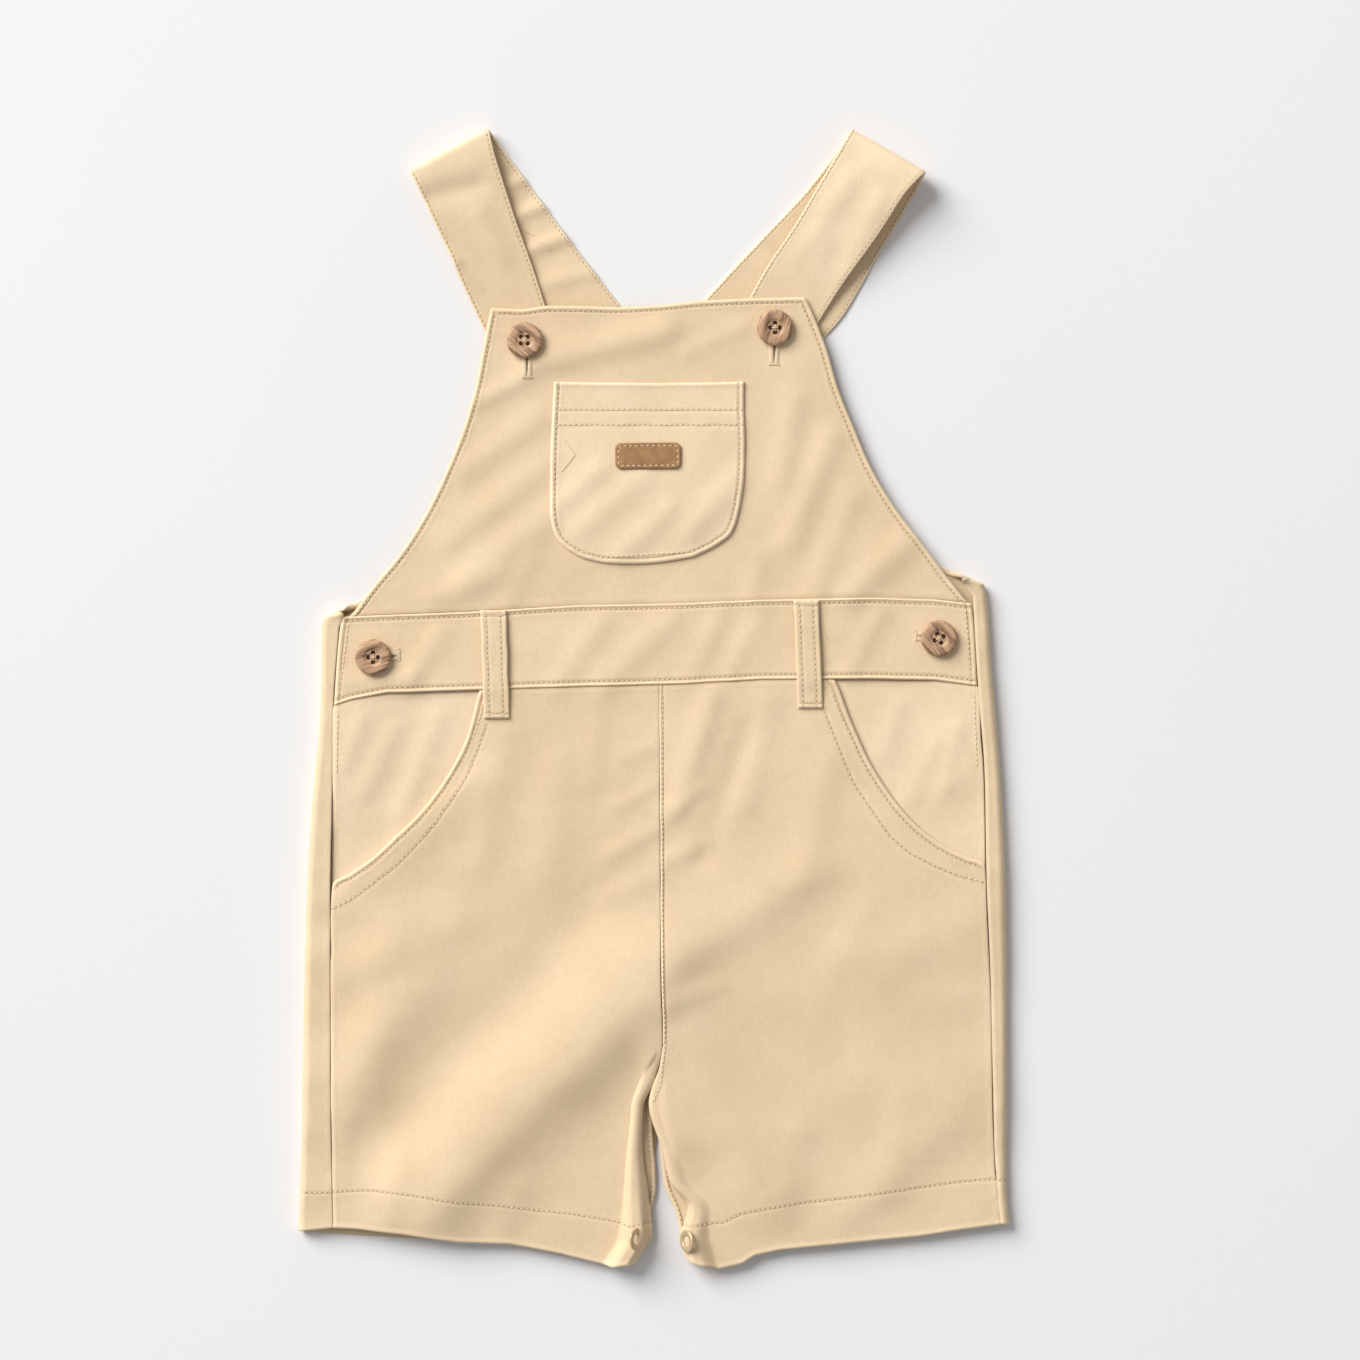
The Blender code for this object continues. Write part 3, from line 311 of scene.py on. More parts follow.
# Snap bands of the inside legs, from the crotch down to the hems.
BAND_LEFT = {
    "left_x": (-8.3, -10.0, -10.8, -10.0, -10.0, -13.8, -17.4),
    "left_y": (-162.1, -171.2, -183.8, -196.2, -204.6, -217.9, -231.6),
    "right_x": (-1.7, -0.8, -0.4, 0.6, 0.8, -2.9, -8.2),
    "right_y": (-165.4, -172.1, -184.6, -195.4, -204.2, -217.9, -232.4),
    "z": (2.0, 1.9, 1.7, 1.5, 1.5, 1.5, 1.5),
}
BAND_RIGHT = {
    "left_x": (1.0, 1.7, 3.1, 4.4, 8.8, 11.2, 14.0),
    "left_y": (-169.6, -181.7, -194.2, -202.9, -213.8, -223.8, -232.6),
    "right_x": (10.8, 15.0, 17.9, 20.8, 24.2, 25.8, 28.3),
    "right_y": (-167.1, -180.4, -192.9, -202.9, -214.6, -224.6, -232.8),
    "z": (1.9, 1.7, 1.5, 1.5, 1.5, 1.5, 1.5),
}

# Belt loops: centre line at the top and at the bottom.
LOOPS = {
    "belt_loop_left": dict(top=(-66.9, 37.0), foot=(-65.4, -8.2), width=10.6),
    "belt_loop_right": dict(top=(63.3, 41.2), foot=(65.1, -3.9), width=10.4),
}

# Buttons: centre, the turn of the four holes and which layer they sit on.
BUTTONS = {
    "button_bib_left": dict(x=-53.8, y=149.2, turn=0),
    "button_bib_right": dict(x=50.4, y=154.6, turn=45),
    "button_side_left": dict(x=-116.8, y=17.3, turn=45),
    "button_side_right": dict(x=118.6, y=25.2, turn=-20),
}

# Snaps of the inside legs: centre as seen from above, size and the cloth that
# carries them.
SNAPS = {
    "snap_hem_left": dict(x=-8.2, y=-224.4, d=SNAP_D, on="front_leg_left"),
    "snap_crotch": dict(x=2.4, y=-176.4, d=6.4, on="snap_band_right"),
    "snap_hem_right": dict(x=14.6, y=-225.4, d=SNAP_D, on="front_leg_right"),
}


# Stitch rows and edges that the solids leave out.
HEM_ROW_LEFT = {
    "x": (-146.7, -140.0, -129.2, -118.8, -107.9, -97.5, -81.2, -65.4, -49.6, -33.8, -17.5, -13.3, -9.6, -3.8),
    "y": (-205.4, -205.7, -205.0, -204.6, -205.4, -206.7, -209.4, -210.8, -212.9, -214.6, -217.3, -218.3, -219.6, -217.9),
}
HEM_ROW_RIGHT = {
    "x": (15.8, 20.8, 29.2, 36.7, 47.5, 63.3, 79.2, 95.0, 111.2, 127.1, 140.8, 146.7),
    "y": (-219.6, -218.8, -217.9, -214.2, -212.1, -209.6, -207.9, -205.7, -203.3, -201.2, -200.0, -200.8),
}
HIP_ROW_LEFT = {
    "x": (-69.6, -72.5, -77.7, -83.3, -91.2, -98.8, -107.9, -117.9, -125.8, -134.2),
    "y": (-10.8, -18.8, -32.1, -40.8, -52.1, -60.8, -70.0, -77.7, -83.3, -87.5),
}
HIP_ROW_RIGHT = {
    "x": (71.2, 74.6, 79.2, 83.3, 90.0, 97.9, 105.8, 115.8, 125.8, 137.1),
    "y": (-5.8, -14.2, -26.2, -35.4, -45.4, -56.7, -63.8, -69.2, -73.3, -76.2),
}
SEAM_ROW = {
    "x": (3.8, 3.6, 3.6, 3.9, 4.9, 3.9, 2.9, -0.2),
    "y": (2.9, -33.8, -83.8, -121.2, -142.9, -152.1, -160.8, -167.5),
}
BIB_TOP = {
    "x": (-67.9, -54.2, -45.8, -30.0, -15.8, 2.5, 18.3, 40.0, 62.1),
    "y": (162.9, 162.5, 163.9, 163.8, 163.3, 164.2, 166.0, 167.1, 167.5),
}
POCKET_ROWS = (120.4, 114.2)

# Colours, linear.
TWILL = (0.77, 0.602, 0.395)
THREAD = (0.86, 0.70, 0.48)
WOOD = (0.50, 0.305, 0.178)
WOOD_DARK = (0.13, 0.06, 0.028)
LEATHER = (0.392, 0.211, 0.087)
# Dark of the needle holes, button holes and buttonhole slits: painted shade.
HOLE_SHADE = (0.16, 0.085, 0.04)
ENAMEL = (0.66, 0.51, 0.32)
FLOOR = (0.835, 0.835, 0.84)


# ------------------------------------------------------------------- numbers
def slope(a, b, c):
    before, after = b - a, c - b
    return 2 * before * after / (before + after) if before * after > 0 else 0.0


def along_one(column, u):
    n = len(column) - 1
    k = min(int(u * n), n - 1)
    t = u * n - k
    b, c = column[k], column[k + 1]
    m0 = slope(column[k - 1], b, c) if k else c - b
    m1 = slope(b, c, column[k + 2]) if k + 2 <= n else c - b
    return (
        b * (2 * t**3 - 3 * t**2 + 1)
        + m0 * (t**3 - 2 * t**2 + t)
        + c * (3 * t**2 - 2 * t**3)
        + m1 * (t**3 - t**2)
    )


def along(column, us):
    return np.array([along_one(column, float(u)) for u in us])


def ease(t):
    t = np.clip(t, 0.0, 1.0)
    return t * t * (3 - 2 * t)


def eased_at(xs, ys, x):
    """Eased steps between the rows of a table."""
    xs, ys = np.array(xs, float), np.array(ys, float)
    if xs[0] > xs[-1]:
        xs, ys = xs[::-1], ys[::-1]
    k = np.clip(np.searchsorted(xs, x) - 1, 0, len(xs) - 2)
    return ys[k] + (ys[k + 1] - ys[k]) * ease((x - xs[k]) / (xs[k + 1] - xs[k]))


def lift_of(rows, x, y):
    """Height that a table of folds or creases adds at (x, y)."""
    total = np.zeros(np.shape(x))
    for row in rows:
        dx, dy = row["x1"] - row["x0"], row["y1"] - row["y0"]
        length = math.hypot(dx, dy)
        px, py = x - row["x0"], y - row["y0"]
        s = (px * dx + py * dy) / length
        off = (py * dx - px * dy) / length
        reach = np.where(off > 0, row["after"], row["before"])
        past = np.maximum(0.0, np.maximum(-s, s - length)) * 2 / (row["after"] + row["before"])
        total = total + row["height"] * np.exp(-((off / reach) ** 2) - past**2)
    return total


def waves(x, y, seed, length, count=12):
    """Smooth unevenness with waves of about this length, roughly from -1.5 to 1.5."""
    rng = np.random.default_rng(seed)
    total = np.zeros(np.shape(x))
    for _ in range(count):
        turn, phase = rng.uniform(0, math.tau, 2)
        k = math.tau / (length * rng.uniform(0.75, 1.5))
        total = total + np.sin(k * (x * math.cos(turn) + y * math.sin(turn)) + phase)
    return total / math.sqrt(count)


def lie(x, y):
    """Underside of the front cloth: the solids' lie with its creases."""
    z = eased_at(LIE["y"], LIE["z"], y) + lift_of(FOLDS, x, y) + lift_of(CREASES, x, y)
    return (
        z
        + 0.15 * waves(x, y, 11, 46)
        + 0.07 * waves(x, y, 12, 21)
        + 0.016 * waves(x, y, 13, 8)
    )


def waist_top(x):
    return np.interp(x, WAIST["x"], WAIST["top"])


def waist_bottom(x):
    return np.interp(x, WAIST["x"], WAIST["bottom"])


def spread(count, ends, middle=0.5):
    """count fractions from 0 to 1, closer together at both ends."""
    t = np.linspace(0, 1, count)
    return t - ends * np.sin(math.tau * t) / math.tau


def distance(P, line):
    """Distance in plan of every point of P from a line of (x, y) points."""
    xy = P[..., :2].reshape(-1, 2)
    line = np.asarray(line, float)[:, :2]
    best = np.full(len(xy), 1e9)
    for a, b in zip(line[:-1], line[1:]):
        ab = b - a
        size = ab @ ab
        if size < 1e-9:
            continue
        t = np.clip((xy - a) @ ab / size, 0, 1)
        gap = xy - a - t[:, None] * ab
        best = np.minimum(best, (gap**2).sum(1))
    return np.sqrt(best).reshape(P.shape[:-1])


def thin(line, most=150):
    line = np.asarray(line, float)
    return line[np.unique(np.linspace(0, len(line) - 1, min(most, len(line))).astype(int))]


def normals(P):
    n = np.cross(np.gradient(P, axis=0), np.gradient(P, axis=1))
    return n / np.maximum(np.linalg.norm(n, axis=-1, keepdims=True), 1e-9)


# Wall profiles by distance from an edge or a row, in mm.
def folded(d, pucker):
    """A turned edge with a stitch row 2.2 mm in."""
    return (
        -0.40 * np.exp(-((d / 0.34) ** 2))
        + (0.24 + 0.07 * pucker) * np.exp(-(((d - 1.1) / 0.8) ** 2))
        - (0.20 + 0.05 * pucker) * np.exp(-(((d - 2.25) / 0.42) ** 2))
        + (0.07 + 0.05 * pucker) * np.exp(-(((d - 3.4) / 0.9) ** 2))
    )


def piped(d, pucker):
    """A thick pressed edge that stands over the piece it is sewn to."""
    return (
        -0.45 * np.exp(-((d / 0.3) ** 2))
        + (0.36 + 0.06 * pucker) * np.exp(-(((d - 0.75) / 0.5) ** 2))
        - (0.22 + 0.05 * pucker) * np.exp(-(((d - 2.15) / 0.5) ** 2))
        + 0.06 * np.exp(-(((d - 3.4) / 0.9) ** 2))
    )


def tucked(d, pucker):
    """An edge that goes under a piped one."""
    return -0.06 * np.exp(-((d / 0.6) ** 2)) + (0.05 + 0.06 * pucker) * np.exp(
        -(((d - 2.0) / 0.9) ** 2)
    )


def plain(d, pucker):
    """A plain seam's edge."""
    return -0.16 * np.exp(-((d / 0.4) ** 2)) + (0.08 + 0.05 * pucker) * np.exp(
        -(((d - 1.5) / 0.9) ** 2)
    )


def level(d, pucker):
    """The lower side of the centre seam."""
    return -0.10 * np.exp(-((d / 0.5) ** 2)) + 0.05 * pucker * np.exp(
        -(((d - 1.5) / 0.9) ** 2)
    )


def lipped(d, pucker):
    """The side of the centre seam that lies over, with its row 1.5 mm in."""
    return (0.22 + 0.05 * pucker) * np.exp(-(((d - 0.55) / 0.5) ** 2)) - (
        0.16 + 0.04 * pucker
    ) * np.exp(-(((d - 1.55) / 0.4) ** 2))


def cut(d, pucker):
    return -0.35 * np.exp(-((d / 0.3) ** 2))


def hemmed(d, pucker):
    """The fold of a doubled hem."""
    return -0.40 * np.exp(-((d / 0.34) ** 2)) + (0.22 + 0.05 * pucker) * np.exp(
        -(((d - 1.0) / 1.0) ** 2)
    )


def sewn(d, pucker):
    """A stitch row inside a panel, with the pucker beside it."""
    return -(0.17 + 0.05 * pucker) * np.exp(-((d / 0.55) ** 2)) + 0.05 * pucker * np.exp(
        -(((d - 1.4) / 0.9) ** 2)
    )


# How much lighter or darker the cloth is painted by distance: lighter on raised edges and ridges, partly wear and
# partly painted highlight, and darker down in seams and stitch grooves, which is painted shade.
def bell(d, at, reach):
    return np.exp(-(((d - at) / reach) ** 2))


TONES = {
    folded: lambda d: 0.85 * bell(d, 0.6, 0.6) - 0.8 * bell(d, 2.25, 0.45),
    piped: lambda d: 1.0 * bell(d, 0.7, 0.6) - 0.9 * bell(d, 2.15, 0.5),
    tucked: lambda d: -0.6 * bell(d, 0.0, 0.7),
    plain: lambda d: -0.3 * bell(d, 0.0, 0.4) + 0.6 * bell(d, 0.8, 0.6),
    level: lambda d: -0.35 * bell(d, 0.0, 0.4),
    lipped: lambda d: 0.8 * bell(d, 0.5, 0.5) - 0.5 * bell(d, 1.5, 0.4),
    cut: lambda d: 0.5 * bell(d, 0.2, 0.6),
    hemmed: lambda d: 0.9 * bell(d, 0.5, 0.8),
    sewn: lambda d: -0.75 * bell(d, 0.0, 0.5) + 0.25 * bell(d, 1.2, 0.6),
}

# -------------------------------------------------------------------- meshes
surfaces = {}
parts = {}


def mesh_object(name, points, faces, finish, smooth=True):
    mesh = bpy.data.meshes.new(name)
    mesh.from_pydata(((points + SHIFT) * MM).tolist(), [], faces)
    mesh.validate()
    if smooth:
        mesh.polygons.foreach_set("use_smooth", np.ones(len(mesh.polygons), bool))
    mesh.materials.append(finish)
    mesh.update()
    obj = bpy.data.objects.new(name, mesh)
    bpy.context.scene.collection.objects.link(obj)
    return obj


def quads(rows, columns, start=0, flip=False):
    i, j = np.meshgrid(np.arange(rows - 1), np.arange(columns - 1), indexing="ij")
    a = (start + i * columns + j).ravel()
    q = np.stack([a, a + columns, a + columns + 1, a + 1], axis=1)
    return (q[:, ::-1] if flip else q).tolist()


def ring(rows, columns, start=0):
    """Border of a grid: down the left, along the bottom, up the right, back along the top."""
    left = [start + i * columns for i in range(rows)]
    bottom = [start + (rows - 1) * columns + j for j in range(1, columns)]
    right = [start + i * columns + columns - 1 for i in range(rows - 2, -1, -1)]
    top = [start + j for j in range(columns - 2, 0, -1)]
    return left + bottom + right + top


def shell(name, inner, outer, finish, coarse=True, both=False, tone=None):
    """A closed shell of cloth between two grids of points. The inner one has a
    quarter of the points where coarse is set."""
    rows, columns = outer.shape[:2]
    surfaces[name] = (outer, False)
    if both:
        surfaces[name + ":inside"] = (inner, True)
    if coarse:
        inner = inner[::2, ::2]
    r2, c2 = inner.shape[:2]
    start = rows * columns
    points = np.concatenate([outer.reshape(-1, 3), inner.reshape(-1, 3)])
    faces = quads(rows, columns) + quads(r2, c2, start, flip=True)
    high, low = ring(rows, columns), ring(r2, c2, start)
    step = 2 if coarse else 1
    for k in range(len(low)):
        p0, p1 = high[k * step], high[(k * step + step) % len(high)]
        q0, q1 = low[k], low[(k + 1) % len(low)]
        if coarse:
            mid = high[k * 2 + 1]
            faces += [(mid, p0, q0), (p1, mid, q1), (mid, q0, q1)]
        else:
            faces.append((p1, p0, q0, q1))
    obj = mesh_object(name, points, faces, finish)
    # Tone per point: painted highlight (partly wear) on raised edges and painted shade in seams and rows, read by the
    # twill material.
    shade = np.zeros(len(points), np.float32)
    if tone is not None:
        shade[: rows * columns] = np.clip(tone, -1, 1).ravel()
        if not coarse:
            shade[start:] = np.clip(tone, -1, 1).ravel()
    obj.data.attributes.new("tone", "FLOAT", "POINT").data.foreach_set("value", shade)
    middle = 0.5 * (outer[::step, ::step] + inner) if coarse else 0.5 * (outer + inner)
    du, df = np.diff(middle, axis=0), np.diff(middle, axis=1)
    cells = np.linalg.norm(
        np.cross(middle[1:, 1:] - middle[:-1, :-1], middle[1:, :-1] - middle[:-1, 1:]),
        axis=-1,
    )
    parts[name] = dict(
        obj=obj,
        area=0.5 * cells.sum() * MM * MM,
        width=np.linalg.norm(df, axis=-1).sum(1).max() * MM,
        length=np.linalg.norm(du, axis=-1).sum(0).max() * MM,
    )
    return obj


def wall_of(inner, features, seed, base=WALL):
    """Thickness of the wall over a grid: base, with each feature's profile."""
    wall, tone = np.full(inner.shape[:2], base), np.zeros(inner.shape[:2])
    pucker = 0.7 * waves(inner[..., 0], inner[..., 1], seed, 5.0)
    for line, profile in features:
        d = distance(inner, thin(line))
        wall += profile(d, pucker)
        tone += TONES[profile](d)
    return np.maximum(wall, 0.3), tone


def dressed(name, inner, features, finish, seed, base=WALL, coarse=True):
    wall, tone = wall_of(inner, features, seed, base)
    outer = inner + normals(inner) * wall[..., None]
    return shell(name, inner, outer, finish, coarse, tone=tone)


# ----------------------------------------------------------------- materials
class Graph:
    """Short way to make a node material."""

    def __init__(self, name):
        self.made = bpy.data.materials.new(name)
        self.made.use_nodes = True
        self.tree = self.made.node_tree
        self.shader = self.tree.nodes["Principled BSDF"]
        self.place = self.node("ShaderNodeTexCoord").outputs["Object"]

    def node(self, kind, **settings):
        made = self.tree.nodes.new(kind)
        for key, value in settings.items():
            setattr(made, key, value)
        return made

    def link(self, a, b):
        self.tree.links.new(a, b)

    def mapped(self, scale, turn=0.0):
        node = self.node("ShaderNodeMapping")
        node.inputs["Scale"].default_value = scale
        node.inputs["Rotation"].default_value = (0, 0, math.radians(turn))
        self.link(self.place, node.inputs["Vector"])
        return node.outputs["Vector"]

    def noise(self, scale, detail=3.0, vector=None, rough=0.5):
        node = self.node("ShaderNodeTexNoise")
        node.inputs["Scale"].default_value = scale
        node.inputs["Detail"].default_value = detail
        node.inputs["Roughness"].default_value = rough
        self.link(vector or self.place, node.inputs["Vector"])
        return node.outputs["Fac"]

    def ramp(self, value, low, high, start=0.0, end=1.0):
        node = self.node("ShaderNodeValToRGB")
        first, last = node.color_ramp.elements
        first.position, last.position = start, end
        first.color, last.color = (*low, 1), (*high, 1)
        self.link(value, node.inputs["Fac"])
        return node.outputs["Color"]

    def mix(self, fac, a, b, blend="MIX"):
        node = self.node("ShaderNodeMix", data_type="RGBA", blend_type=blend)
        if isinstance(fac, float):
            node.inputs[0].default_value = fac
        else:
            self.link(fac, node.inputs[0])
        for socket, value in ((node.inputs[6], a), (node.inputs[7], b)):
            if isinstance(value, tuple):
                socket.default_value = (*value, 1)
            else:
                self.link(value, socket)
        return node.outputs[2]

    def math(self, kind, a, b):
        node = self.node("ShaderNodeMath", operation=kind)
        if kind == "MULTIPLY_ADD":
            node.inputs[2].default_value = 0.5
        for socket, value in zip(node.inputs, (a, b)):
            if isinstance(value, (int, float)):
                socket.default_value = value
            else:
                self.link(value, socket)
        return node.outputs[0]

    def bump(self, height, depth, strength=1.0, after=None):
        node = self.node("ShaderNodeBump")
        node.inputs["Strength"].default_value = strength
        node.inputs["Distance"].default_value = depth * MM
        self.link(height, node.inputs["Height"])
        if after:
            self.link(after, node.inputs["Normal"])
        return node.outputs["Normal"]


def twill_finish(name, colour, turn=0.0, shade=1.0):
    """Washed cotton twill: fine diagonal ribs, slubs and a faint mottle."""
    g = Graph(name)
    base = tuple(c * shade for c in colour)
    worn = tuple(min(1.0, c * f) for c, f in zip(base, (1.035, 1.045, 1.07)))
    deep = tuple(c * f for c, f in zip(base, (0.965, 0.95, 0.925)))
    mottle = g.ramp(g.noise(28.0, 4.0, rough=0.6), deep, worn, 0.3, 0.7)
    slub = g.ramp(
        g.noise(1.0, 2.0, g.mapped((2600.0, 240.0, 2600.0), turn + 2)),
        (0.955, 0.95, 0.94), (1.035, 1.035, 1.04), 0.3, 0.7,
    )
    warp = g.ramp(
        g.noise(1.0, 2.0, g.mapped((300.0, 2600.0, 2600.0), turn + 2)),
        (0.97, 0.965, 0.96), (1.02, 1.02, 1.02), 0.3, 0.7,
    )
    colour_out = g.mix(1.0, g.mix(1.0, mottle, slub, "MULTIPLY"), warp, "MULTIPLY")
    # The tone attribute paints light into the colour: lighter on raised edges (partly wear, partly painted highlight),
    # darker in seams and stitch rows (painted shade).
    wear_and_painted_light = g.node("ShaderNodeAttribute", attribute_name="tone").outputs["Fac"]
    wear_and_painted_light = g.math("MULTIPLY_ADD", wear_and_painted_light, 0.5)
    shade_by = g.ramp(wear_and_painted_light, (0.76, 0.70, 0.62), (1.13, 1.15, 1.20))
    middle = shade_by.node.color_ramp.elements.new(0.5)
    middle.color = (1, 1, 1, 1)
    colour_out = g.mix(1.0, colour_out, shade_by, "MULTIPLY")
    g.link(colour_out, g.shader.inputs["Base Color"])
    rib = g.node("ShaderNodeTexWave", wave_type="BANDS", bands_direction="X")
    rib.inputs["Scale"].default_value = 430.0
    rib.inputs["Distortion"].default_value = 1.4
    rib.inputs["Detail"].default_value = 1.0
    rib.inputs["Detail Scale"].default_value = 2.0
    g.link(g.mapped((1.0, 1.0, 1.0), turn + 52), rib.inputs["Vector"])
    fuzz = g.noise(3800.0, 2.0)
    soft = g.noise(520.0, 3.0)
    normal = g.bump(soft, 0.05, 0.5)
    normal = g.bump(rib.outputs["Fac"], 0.035, 0.55, normal)
    normal = g.bump(fuzz, 0.03, 0.5, normal)
    g.link(normal, g.shader.inputs["Normal"])
    g.shader.inputs["Roughness"].default_value = 0.86
    g.shader.inputs["Specular IOR Level"].default_value = 0.25
    g.shader.inputs["Sheen Weight"].default_value = 0.12
    g.shader.inputs["Sheen Roughness"].default_value = 0.5
    g.shader.inputs["Sheen Tint"].default_value = (1.0, 0.93, 0.82, 1)
    return g.made


def thread_finish(name, colour):
    g = Graph(name)
    twist = g.noise(2400.0, 2.0)
    g.link(
        g.ramp(twist, tuple(c * 0.86 for c in colour), colour, 0.3, 0.65),
        g.shader.inputs["Base Color"],
    )
    g.link(g.bump(twist, 0.05, 0.6), g.shader.inputs["Normal"])
    g.shader.inputs["Roughness"].default_value = 0.62
    g.shader.inputs["Sheen Weight"].default_value = 0.15
    return g.made


def wood_finish(name):
    """Wood with long dark grain along the object's own X."""
    g = Graph(name)
    grain = g.noise(1.0, 5.0, g.mapped((62.0, 980.0, 500.0)), 0.62)
    fine = g.noise(1.0, 3.0, g.mapped((240.0, 3900.0, 900.0)), 0.6)
    broad = g.noise(1.0, 2.0, g.mapped((35.0, 210.0, 90.0)))
    pale = tuple(min(1.0, c * 1.28) for c in WOOD)
    body = g.ramp(broad, WOOD, pale, 0.35, 0.68)
    streak = g.ramp(grain, (0, 0, 0), (1, 1, 1), 0.47, 0.60)
    hair = g.ramp(fine, (0, 0, 0), (1, 1, 1), 0.50, 0.72)
    colour = g.mix(g.math("MULTIPLY", hair, 0.45), body, WOOD_DARK)
    colour = g.mix(g.math("MULTIPLY", streak, 0.78), colour, WOOD_DARK)
    g.link(colour, g.shader.inputs["Base Color"])
    normal = g.bump(g.math("MULTIPLY", streak, -1.0), 0.10, 0.7)
    normal = g.bump(fine, 0.03, 0.5, normal)
    g.link(normal, g.shader.inputs["Normal"])
    rough = g.node("ShaderNodeMapRange")
    rough.inputs["To Min"].default_value = 0.42
    rough.inputs["To Max"].default_value = 0.68
    g.link(grain, rough.inputs["Value"])
    g.link(rough.outputs["Result"], g.shader.inputs["Roughness"])
    g.shader.inputs["Coat Weight"].default_value = 0.12
    g.shader.inputs["Coat Roughness"].default_value = 0.35
    return g.made


def leather_finish(name):
    g = Graph(name)
    cells = g.node("ShaderNodeTexVoronoi", feature="DISTANCE_TO_EDGE")
    cells.inputs["Scale"].default_value = 1900.0
    g.link(g.place, cells.inputs["Vector"])
    mottle = g.noise(240.0, 4.0, rough=0.6)
    dark = tuple(c * 0.80 for c in LEATHER)
    pale = tuple(min(1, c * 1.16) for c in LEATHER)
    colour = g.ramp(mottle, dark, pale, 0.3, 0.7)
    pits = g.ramp(cells.outputs["Distance"], (0.82, 0.80, 0.78), (1, 1, 1), 0.0, 0.12)
    g.link(g.mix(1.0, colour, pits, "MULTIPLY"), g.shader.inputs["Base Color"])
    normal = g.bump(cells.outputs["Distance"], 0.05, 0.45)
    normal = g.bump(mottle, 0.06, 0.4, normal)
    g.link(normal, g.shader.inputs["Normal"])
    g.shader.inputs["Roughness"].default_value = 0.52
    return g.made


def enamel_finish(name):
    g = Graph(name)
    spots = g.noise(900.0, 3.0)
    g.link(
        g.ramp(spots, tuple(c * 0.9 for c in ENAMEL), ENAMEL, 0.3, 0.7),
        g.shader.inputs["Base Color"],
    )
    g.link(g.bump(spots, 0.02, 0.3), g.shader.inputs["Normal"])
    g.shader.inputs["Metallic"].default_value = 0.35
    g.shader.inputs["Roughness"].default_value = 0.33
    return g.made


twill = twill_finish("twill_body", TWILL)
# A lighter copy of the body twill for the hip facings and the patch pocket: painted highlight that brightens them as
# if they caught more light.
twill_painted_lit = twill_finish("twill_painted_lit", tuple(c * k for c, k in zip(TWILL, (1.07, 1.09, 1.13))))
twill_cross = twill_finish("twill_cross", TWILL, turn=88.0, shade=1.01)
twill_inside = twill_finish("twill_inside", TWILL, turn=-75.0, shade=0.93)
thread = thread_finish("thread", THREAD)
wood = wood_finish("button_wood_grain")
leather = leather_finish("label_leather_grain")
enamel = enamel_finish("snap_enamel")
hole_shade_finish = thread_finish("needle_hole_shade", HOLE_SHADE)


# -------------------------------------------------------------------- panels
def straight_grid(table, us, fs):
    x0, y0 = along(table["left_x"], us), along(table["left_y"], us)
    x1, y1 = along(table["right_x"], us), along(table["right_y"], us)
    X = x0[:, None] + (x1 - x0)[:, None] * fs
    Y = y0[:, None] + (y1 - y0)[:, None] * fs
    return X, Y


def widened(X, by=0.16):
    """A panel's sides pushed out a little, so that its seams close."""
    left, right = X - X[:, :1], X[:, -1:] - X
    return X - by * np.exp(-left / 1.5) + by * np.exp(-right / 1.5)


def on_lie(X, Y, lift=0.0):
    return np.stack([X, Y, lie(X, Y) + SKIN + lift], axis=-1)


def rolled(z, d, width, crest, low, foot, stand):
    t = np.clip(d / width, 0, 1)
    rise = (1 - stand) * (1 - (1 - t) ** 3) + stand * ease((t - 0.1) / 0.52)
    down = low + (crest - low) * rise
    up = crest + (z - crest) * ease((d - width) / foot)
    return np.where(d < width, down, up)


# The inside-leg rolls as they show, a value for each row of the leg's table
# from its first rolled row on.
ROLL_SHOWN = {
    -1: {
        "roll": (1.2, 4.6, 2.8, 3.8, 6.4, 8.0, 8.0),
        "foot": (1.5, 1.7, 1.8, 2.0, 3.4, 6.2, 7.0),
        "crest": (5.9, 6.8, 7.1, 7.2, 7.5, 8.6, 9.2),
        "edge": (5.2, 5.0, 4.7, 4.2, 3.7, 3.4, 3.3),
        "stand": (0, 0, 0, 0, 0.3, 1, 1),
    },
    0: {
        "roll": (2.4, 2.6, 3.0, 4.0, 6.4, 6.6),
        "foot": (4.0, 4.0, 4.0, 5.0, 6.5, 7.0),
        "crest": (6.6, 6.6, 6.3, 6.3, 7.4, 8.0),
        "edge": (5.6, 5.0, 4.2, 3.6, 3.3, 3.3),
        "stand": (0, 0, 0, 0.3, 1, 1),
    },
}


